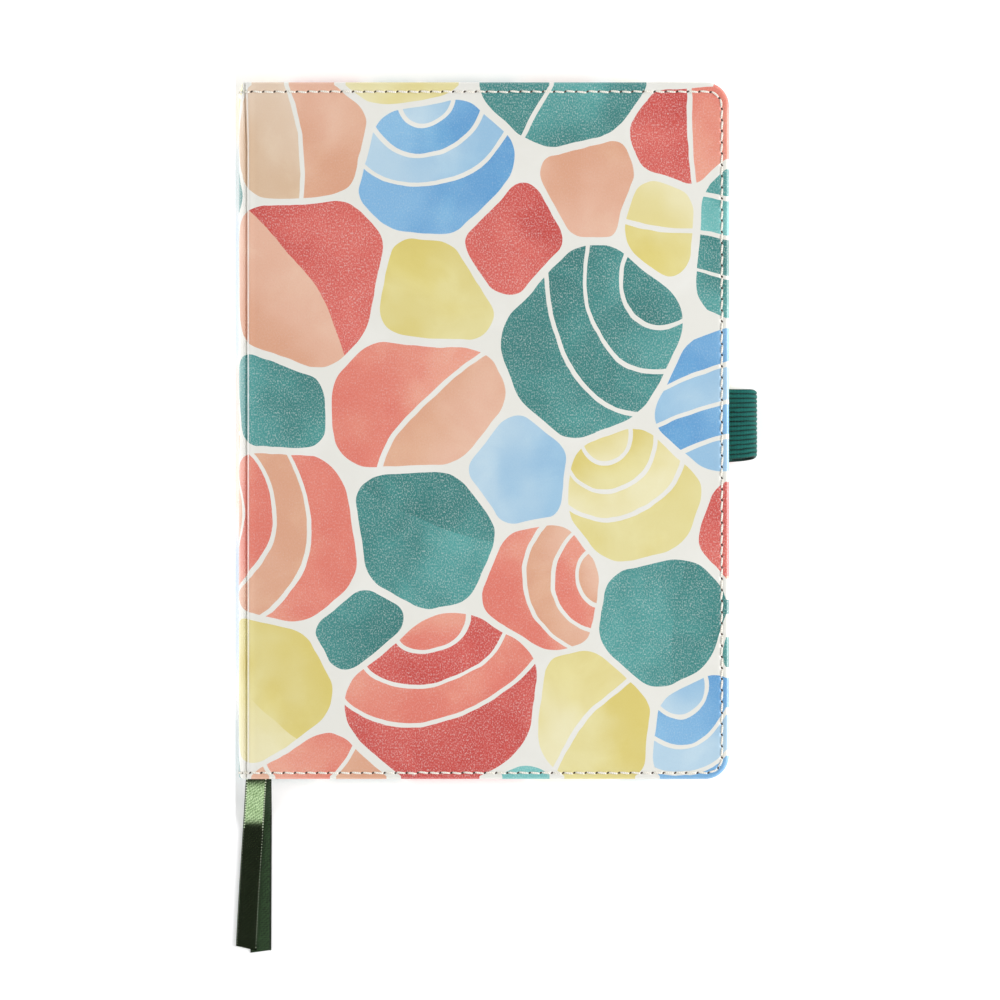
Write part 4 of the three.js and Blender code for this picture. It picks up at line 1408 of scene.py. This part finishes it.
mid_u = on_needle(hole_s + PITCH / 2)[:, 0]
groups = {
    "front_cover_stitches": np.flatnonzero(mid_u > U_COVER + 0.2),
    "front_joint_stitches": np.flatnonzero((mid_u <= U_COVER + 0.2) & (mid_u > U_SHOULDER - 0.4)),
    "spine_stitches": np.flatnonzero(np.abs(mid_u) <= U_SHOULDER - 0.4),
    "back_joint_stitches": np.flatnonzero((mid_u >= -U_COVER - 0.2) & (mid_u < -U_SHOULDER + 0.4)),
    "back_cover_stitches": np.flatnonzero(mid_u < -U_COVER - 0.2),
}
piece = stitches("", groups["front_cover_stitches"]).make("front_cover_stitches", THREAD, "front_cover", 60, "thread", ["front_cover_stitching"])
piece = stitches("", groups["back_cover_stitches"]).make("back_cover_stitches", THREAD, "back_cover", 60, "thread", ["back_cover_stitching"])
piece = stitches("", groups["front_joint_stitches"]).make("front_joint_stitches", THREAD, None, 60, "thread")
blend(piece)
piece = stitches("", groups["back_joint_stitches"]).make("back_joint_stitches", THREAD, None, 60, "thread")
blend(piece)
piece = stitches("", groups["spine_stitches"]).make("spine_stitches", THREAD, None, 60, "thread")
blend(piece)

# ---------------------------------------------------------------- sheets of paper


def leaf_outline(x0, x1, half, r, arc=7):
    pts = [(x0, -half)]
    pts += [(x1 - r + r * math.sin(a), -half + r - r * math.cos(a)) for a in np.linspace(0, math.pi / 2, arc)]
    pts += [(x1 - r + r * math.cos(a), half - r + r * math.sin(a)) for a in np.linspace(0, math.pi / 2, arc)]
    pts.append((x0, half))
    return pts


def add_leaf(b, outline, z0, z1):
    k = len(outline)
    low = [(x, y, z0) for x, y in outline]
    high = [(x, y, z1) for x, y in outline]
    faces = [tuple(range(k))[::-1], tuple(range(k, 2 * k))]
    faces += [(i, (i + 1) % k, k + (i + 1) % k, k + i) for i in range(k)]
    b.add(low + high, faces)


shake = np.random.default_rng(23)
for n in range(1, 14):
    top = BLOCK_TOP - (n - 1)
    names = [(f"signature_{n:02d}", top, 0, 8)]
    if n == 7:
        names = [("signature_07_front_leaves", top, 0, 4), ("signature_07_rear_leaves", top - 0.5, 0, 4)]
    for node, z_top, _first, leaves in names:
        b = Builder()
        for k in range(leaves):
            position = k if leaves == 8 else (k if node.endswith("front_leaves") else 4 + k)
            fold = 0.5 - math.sqrt(max(0.0, 0.25 - ((position - 3.5) * LEAF_T) ** 2))
            z1 = z_top - k * LEAF_T - 0.006
            z0 = z_top - (k + 1) * LEAF_T + 0.006
            dx, dy = shake.normal(0, 0.05), shake.normal(0, 0.04)
            outline = leaf_outline(PAGE_X0 + fold, PAGE_X1 + dx, PAGE_H + dy * 0.6, PAGE_R)
            if node == "signature_07_rear_leaves" or (n == 10 and k < 3):
                # leaves beside a marker make room for it
                limit = 9.02 if n == 7 else 6.55
                z1, z0 = min(z1, limit), min(z0, limit - 0.01)
                if z1 - z0 < 0.05:
                    continue
            if node == "signature_07_front_leaves":
                z0 = max(z0, MID + 0.10)
                if z1 - z0 < 0.02:
                    continue
            add_leaf(b, outline, z0, z1)
        body = "front_half" if n < 7 or node.endswith("front_leaves") else "rear_half"
        b.make(node + "_paper", PAGE, body, slot="page_paper", replaces=[node], flat=True)


def wing_sheet(path, thickness, material, half=PAGE_H, radius=PAGE_R, round_x=PAGE_X1):
    """A sheet along an X-Z path, its fore corners rounded where it comes near round_x."""
    path = np.asarray(path, float)
    t = np.gradient(path, axis=0)
    t /= np.linalg.norm(t, axis=1)[:, None]
    n = np.stack([-t[:, 1], t[:, 0]], 1)
    x = path[:, 0]
    into = np.clip(x - (round_x - radius), 0, radius)
    reach = half - (radius - np.sqrt(np.maximum(radius**2 - into**2, 0)))
    columns = 9
    w = np.linspace(-1, 1, columns)
    b = Builder()
    bases = []
    for sign in (1, -1):
        q = path + n * sign * thickness / 2
        rows = np.stack([np.repeat(q[:, 0], columns), (reach[:, None] * w).ravel(), np.repeat(q[:, 1], columns)], 1)
        bases.append(b.add(rows, [], rest=rows))
    rows = len(path)
    a, c = bases
    b.f += grid_faces(rows, columns, a)
    b.f += grid_faces(rows, columns, c, flip=True)
    for i in range(rows - 1):
        b.f.append((a + i * columns, a + (i + 1) * columns, c + (i + 1) * columns, c + i * columns))
        j = columns - 1
        b.f.append((a + (i + 1) * columns + j, a + i * columns + j, c + i * columns + j, c + (i + 1) * columns + j))
    for j in range(columns - 1):
        b.f.append((a + j + 1, a + j, c + j, c + j + 1))
        i = (rows - 1) * columns
        b.f.append((a + i + j, a + i + j + 1, c + i + j + 1, c + i + j))
    return b


def corner_steps(x1, r, n=8):
    """x values that resolve a rounded fore corner, ending at x1."""
    return [x1 - r + r * math.sin(a) for a in np.linspace(0, math.pi / 2, n)]


# the middle sheet of the middle signature, folded at the pivot of the opening
fore = corner_steps(PAGE_X1 - 0.02, PAGE_R)
rear = [(x, 9.03) for x in fore[::-1]] + [(x, 9.03) for x in np.linspace(60, -76.0, 24)]
rise = [(-76.0 - 2.3 * k / 6, 9.03 + 0.285 * float(smooth(k / 6))) for k in range(1, 7)]
fold = [(-78.62 - 0.035 * math.sin(math.pi * k / 14), MID - 0.035 * math.cos(math.pi * k / 14)) for k in range(15)]
path = rear + rise + [(-78.5, 9.315)] + fold + [(-78.5, 9.388), (-78.3, 9.408), (-78.1, 9.418)] + [(x, 9.42) for x in np.linspace(-77.8, 60, 26)] + [(x, 9.42) for x in fore]
folio = wing_sheet(path, 0.05, PAGE).make("signature_07_middle_sheet", PAGE_FOLDED, None, 40, "page_paper")
blend(folio)

# sewing thread in the middle fold: long stitches along the gutter
b = Builder()
for a, c in ((-80, -52), (-48, -18), (-14, 14), (18, 48), (52, 80)):
    ys = np.linspace(a, c, 14)
    rows, ply = [], []
    for i, yy in enumerate(ys):
        dip = 0.10 * (abs(2 * i / 13 - 1) ** 8)
        for m in range(8):
            ang = 2 * math.pi * m / 8
            rows.append((-78.40 - dip + 0.13 * math.cos(ang), yy, MID + 0.13 * math.sin(ang)))
            ply.append((yy, m / 8, 0))
    faces = grid_faces(14, 8, 0, closed=True, flip=True) + [tuple(range(8)), tuple(13 * 8 + m for m in range(8))[::-1]]
    b.add(rows, faces, ply=np.array(ply))
thread = b.make("middle_fold_thread", SEWING, None, 60, "thread", ["centre_sewing_thread"])
blend(thread)

# flyleaves, pastedowns and the strips of endpaper over the joints
for hand, z_fly, z_line, body, cover, root in (
    ("front", 15.925, 16.04, "front_flyleaf", "front_cover", "front_half"),
    ("back", 2.775, 2.66, "back_flyleaf", "back_cover", "rear_half"),
):
    sign = 1 if hand == "front" else -1
    b = Builder()
    add_leaf(b, leaf_outline(PAGE_X0 + 0.34, PAGE_X1, PAGE_H, PAGE_R), z_fly - 0.065, z_fly + 0.065)
    b.make(hand + "_flyleaf_paper", FLY, body, slot="fly_paper", replaces=[hand + "_flyleaf"], flat=True)
    b = Builder()
    add_leaf(b, leaf_outline(COVER_SPINE_X + 0.05, PAGE_X1, PAGE_H, PAGE_R), z_line - 0.035, z_line + 0.035)
    b.make(hand + "_pastedown_paper", LINING, cover, slot="lining_paper", replaces=[hand + "_cover_lining"], flat=True)
    # strip: up from the block's shoulder and along under the joint to the board
    turn = [(-76.93 - 0.05 * math.sin(math.pi * k / 28), z_line - sign * 0.05 - sign * 0.05 * math.cos(math.pi * k / 28)) for k in range(29)]
    line = turn + [(-76.6 + 3.1 * k / 5, z_line) for k in range(6)]
    strip = wing_sheet(line, 0.06, LINING, round_x=200).make(hand + "_endpaper_joint", LINING, None, 40, "lining_paper")
    blend(strip)

# ------------------------------------------------------------- inside the spine


def prism(b, section_xz, y0, y1, rows=2):
    """A closed piece with one section, drawn out along Y."""
    pts = np.asarray(section_xz, float)
    area = np.sum(pts[:, 0] * np.roll(pts[:, 1], -1) - np.roll(pts[:, 0], -1) * pts[:, 1])
    if area < 0:
        pts = pts[::-1]
    k = len(pts)
    ys = np.linspace(y0, y1, rows)
    verts = [(x, y, z) for y in ys for x, z in pts]
    faces = grid_faces(rows, k, 0, closed=True)
    faces += [tuple(range(k))[::-1], tuple((rows - 1) * k + i for i in range(k))]
    b.add(verts, [f[::-1] for f in faces])


def spine_shell(inset0, inset1, z_top, z_from):
    out = []
    for inset, order in ((inset0, 1), (inset1, -1)):
        zz = np.linspace(z_from, z_top, 12)[::order]
        for z in zz:
            u = min(1.0, abs(z - MID) / (MID - inset))
            apex = SPINE_X + inset
            out.append((apex + (HINGE_X - apex) * u**4, z))
    return out


for hand, body in (("front", "front_half"), ("rear", "rear_half")):
    shell = spine_shell(0.66, 0.90, MID + 6.3, MID + 0.42)
    mull = [(-77.28, MID + 0.3), (-77.28, BLOCK_TOP - 0.02), (-77.03, BLOCK_TOP - 0.02), (-77.03, MID + 0.3)]
    if hand == "rear":
        shell = [(x, THICK - z) for x, z in shell]
        mull = [(x, THICK - z) for x, z in mull]
    b = Builder()
    prism(b, shell, -103.0, 102.0, 12)
    b.make("spine_inlay_" + hand + "_card", CARD, body, 40, "inlay_card", ["spine_inlay_" + hand])
    b = Builder()
    prism(b, mull, -96, 96, 12)
    b.make("spine_lining_" + hand + "_cloth", MULL, body, 40, "spine_cloth", ["spine_lining_" + hand])

# head and tail bands: a cord wrapped with two colours of silk
for name, y_edge, out in (("headband", PAGE_H, 1), ("tailband", -PAGE_H, -1)):
    b = Builder()
    zs = np.linspace(MID - 6.1, MID + 6.1, 98)
    sides = 10
    verts, wrap = [], []
    for i, z in enumerate(zs):
        bulge = 0.05 * abs(math.sin(math.pi * (z - MID) / 0.4))
        end = 1 - 0.6 * max(0.0, (abs(z - MID) - 5.8) / 0.3) ** 2
        for m in range(sides):
            a = 2 * math.pi * m / sides
            verts.append((-76.66 + (0.62 + bulge) * end * math.cos(a), y_edge + out * (0.42 + (0.40 + bulge) * end * math.sin(a)), z))
            wrap.append((z, a, 0))
    faces = grid_faces(len(zs), sides, 0, closed=True)
    faces += [tuple(range(sides))[::-1], tuple((len(zs) - 1) * sides + m for m in range(sides))]
    if out < 0:
        faces = [f[::-1] for f in faces]
    b.add(verts, faces, wrap=np.array(wrap))
    band = b.make(name + "_silk", BAND, None, 60, "band_cloth", [name + "_front", name + "_rear"])
    blend(band)

# -------------------------------------------------------------------- pen loop
LOOP_Y0, LOOP_Y1 = -9.4, 12.8
CX, CZ, RX, RZ = 74.25, 4.6, 5.65, 4.1
RIB = 1.5


def loop_y(angle, w):
    """Where row w (0 tail to 1 head) of the band lies at this angle round the ring."""
    # the tail edge is pulled up towards the bend and on the upper layer, the head edge hardly
    pull = 1.15 * (0.5 + 0.5 * np.cos(angle)) ** 1.6 + 0.85 * smooth(0.5 + 1.1 * np.sin(angle))
    dip = 0.25 * np.clip(np.cos(angle), 0, 1) ** 6
    return LOOP_Y0 - 0.35 + pull + (LOOP_Y1 - dip - LOOP_Y0 + 0.35 - pull) * w


b = Builder()
around, along = 72, 15 * 8 + 1
start = math.radians(218)
sweep = math.radians(360)
angles = start + sweep * np.arange(around) / around
w = np.linspace(0, 1, along)
rib = np.abs(np.sin(math.pi * w * 15)) ** 0.6
layers = []
for sign, inset in ((1, 0.0), (-1, 0.9)):
    verts, knit, ribs = [], [], []
    for a in angles:
        rx, rz = RX - inset, RZ - inset
        height = sign * 0.38 * (rib - 1)
        edge = 0.0
        # the corners of the bend are soft
        height = height - 0.55 * np.clip(1 - np.minimum(w, 1 - w) * 22 / 1.3, 0, 1) ** 2 * max(0.0, math.cos(a)) ** 3
        yy = loop_y(a, w)
        # a wide band relaxes into a ring with flatter sides
        power = 0.86
        cx_ = np.sign(math.cos(a)) * abs(math.cos(a)) ** power
        sz_ = np.sign(math.sin(a)) * abs(math.sin(a)) ** power
        yy = yy + 0.26 * (noise2(np.full(along, 3.0 * math.sin(a) + 9), 3 * math.cos(a) + 15 * w) - 0.5) * np.minimum(1, 8 * np.minimum(w, 1 - w))
        verts.append(np.stack([CX + (rx + height + edge) * cx_, yy, CZ + (rz + height + edge) * sz_], 1))
        # knit z is +5 on the outer layer and -5 on the inner one, which the shader paints dark as shade
        knit.append(np.stack([np.full(along, a * 4.2), yy, np.full(along, sign * 5.0)], 1))
        ribs.append(rib)
    layers.append(b.add(np.concatenate(verts), [], knit=np.concatenate(knit), rib=np.concatenate(ribs)))
outer, inner = layers
for i in range(around):
    k = (i + 1) % around
    for j in range(along - 1):
        b.f.append((outer + i * along + j, outer + i * along + j + 1, outer + k * along + j + 1, outer + k * along + j)[::-1])
        b.f.append((inner + i * along + j, inner + i * along + j + 1, inner + k * along + j + 1, inner + k * along + j))
    b.f.append((outer + i * along, outer + k * along, inner + k * along, inner + i * along)[::-1])
    j = along - 1
    b.f.append((outer + i * along + j, outer + k * along + j, inner + k * along + j, inner + i * along + j))
# the two ends of the band lie together inside the cover
tab_x = np.linspace(57.6, 72.2, 16)
for z0, z1 in ((1.0, 1.68), (1.70, 2.36)):
    rows_top, rows_low, knit = [], [], []
    for x in tab_x:
        yy = LOOP_Y0 + 0.2 + (LOOP_Y1 - LOOP_Y0 - 0.4) * w
        h = 0.12 * (rib - 1)
        rows_top.append(np.stack([np.full(along, x), yy, z1 + h], 1))
        rows_low.append(np.stack([np.full(along, x), yy, z0 - h], 1))
        knit.append(np.stack([np.full(along, x), yy, np.full(along, z0)], 1))
    top = b.add(np.concatenate(rows_top), [], knit=np.concatenate(knit), rib=np.tile(rib, len(tab_x)))
    low = b.add(np.concatenate(rows_low), [], knit=np.concatenate(knit), rib=np.tile(rib, len(tab_x)))
    n_x = len(tab_x)
    b.f += grid_faces(n_x, along, top, flip=True)
    b.f += grid_faces(n_x, along, low)
    for i in range(n_x - 1):
        b.f.append((top + i * along, top + (i + 1) * along, low + (i + 1) * along, low + i * along)[::-1])
        j = along - 1
        b.f.append((top + i * along + j, top + (i + 1) * along + j, low + (i + 1) * along + j, low + i * along + j))
    for j in range(along - 1):
        b.f.append((top + j, top + j + 1, low + j + 1, low + j))
        i = (n_x - 1) * along
        b.f.append((top + i + j, top + i + j + 1, low + i + j + 1, low + i + j)[::-1])
b.make("pen_loop_elastic", ELASTIC, "back_cover", 60, "elastic", ["pen_loop"])

# ----------------------------------------------------- pieces kept from the frame
for node in ("front_board", "back_board"):
    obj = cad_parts[node]
    for slot_ in obj.material_slots:
        slot_.material = BOARD
    if not obj.material_slots:
        obj.data.materials.append(BOARD)

# -------------------------------------------------------------- floor and light


def floor_material():
    n = Nodes("floor_paper")
    n.set(Base_Color=(0.92, 0.92, 0.93), Roughness=0.9, Specular_IOR_Level=0.1, Emission_Color=(1.0, 1.0, 1.0), Emission_Strength=0.31)
    return n.material


floor = Builder()
# the opening lets the back cover swing right under the plane that the journal lies on
x0, x1, y0, y1 = -262.0, -80.5, -125.0, 125.0
far, z = 6000.0, -0.05
xs, ys = (-far, x0, x1, far), (-far, y0, y1, far)
floor.add([(x, y, z) for y in ys for x in xs], [(4 * j + i, 4 * j + i + 1, 4 * j + i + 5, 4 * j + i + 4) for j in range(3) for i in range(3) if (i, j) != (1, 1)])
ground = floor.make("floor", floor_material(), flat=True)
ground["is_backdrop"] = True

world = bpy.data.worlds.new("studio")
scene.world = world
world.use_nodes = True
tree = world.node_tree
background = tree.nodes["Background"]
coordinates = tree.nodes.new("ShaderNodeTexCoord")
separate = tree.nodes.new("ShaderNodeSeparateXYZ")
tree.links.new(coordinates.outputs["Generated"], separate.inputs[0])
ramp = tree.nodes.new("ShaderNodeValToRGB")
ramp.color_ramp.interpolation = "EASE"
for place_, tone in ((0.0, 1.3), (0.02, 1.3), (0.03, 1.0), (0.55, 1.0), (0.86, 0.016)):
    stop = ramp.color_ramp.elements[0] if place_ == 0.0 else ramp.color_ramp.elements.new(place_)
    stop.position = place_
    stop.color = (tone, tone, tone, 1.0)
ramp.color_ramp.elements.remove(ramp.color_ramp.elements[-1])
tree.links.new(separate.outputs["Z"], ramp.inputs[0])
tree.links.new(ramp.outputs[0], background.inputs["Color"])
background.inputs["Strength"].default_value = 1.0


def area_light(name, at, target, size, power, colour=(1, 1, 1), size_y=None):
    data = bpy.data.lights.new(name, "AREA")
    data.energy = power
    data.color = colour
    data.shape = "RECTANGLE"
    data.size = size
    data.size_y = size_y or size
    obj = bpy.data.objects.new(name, data)
    obj.location = at
    direction = (np.array(target) - np.array(at)) / np.linalg.norm(np.array(target) - np.array(at))
    from mathutils import Vector
    obj.rotation_mode = "QUATERNION"
    obj.rotation_quaternion = Vector(direction).to_track_quat("-Z", "Y")
    scene.collection.objects.link(obj)
    return obj


area_light("right_light", (1.34, -0.08, 0.80), (0, 0, 0), 0.45, 20.0, size_y=1.2)
area_light("left_light", (-1.36, 0.0, 0.78), (0, 0, 0), 0.14, 5.0, size_y=1.2)

scene.view_settings.view_transform = "Standard"
scene.view_settings.look = "None"
scene.view_settings.exposure = 0.0
scene.view_settings.gamma = 1.0

low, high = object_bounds()
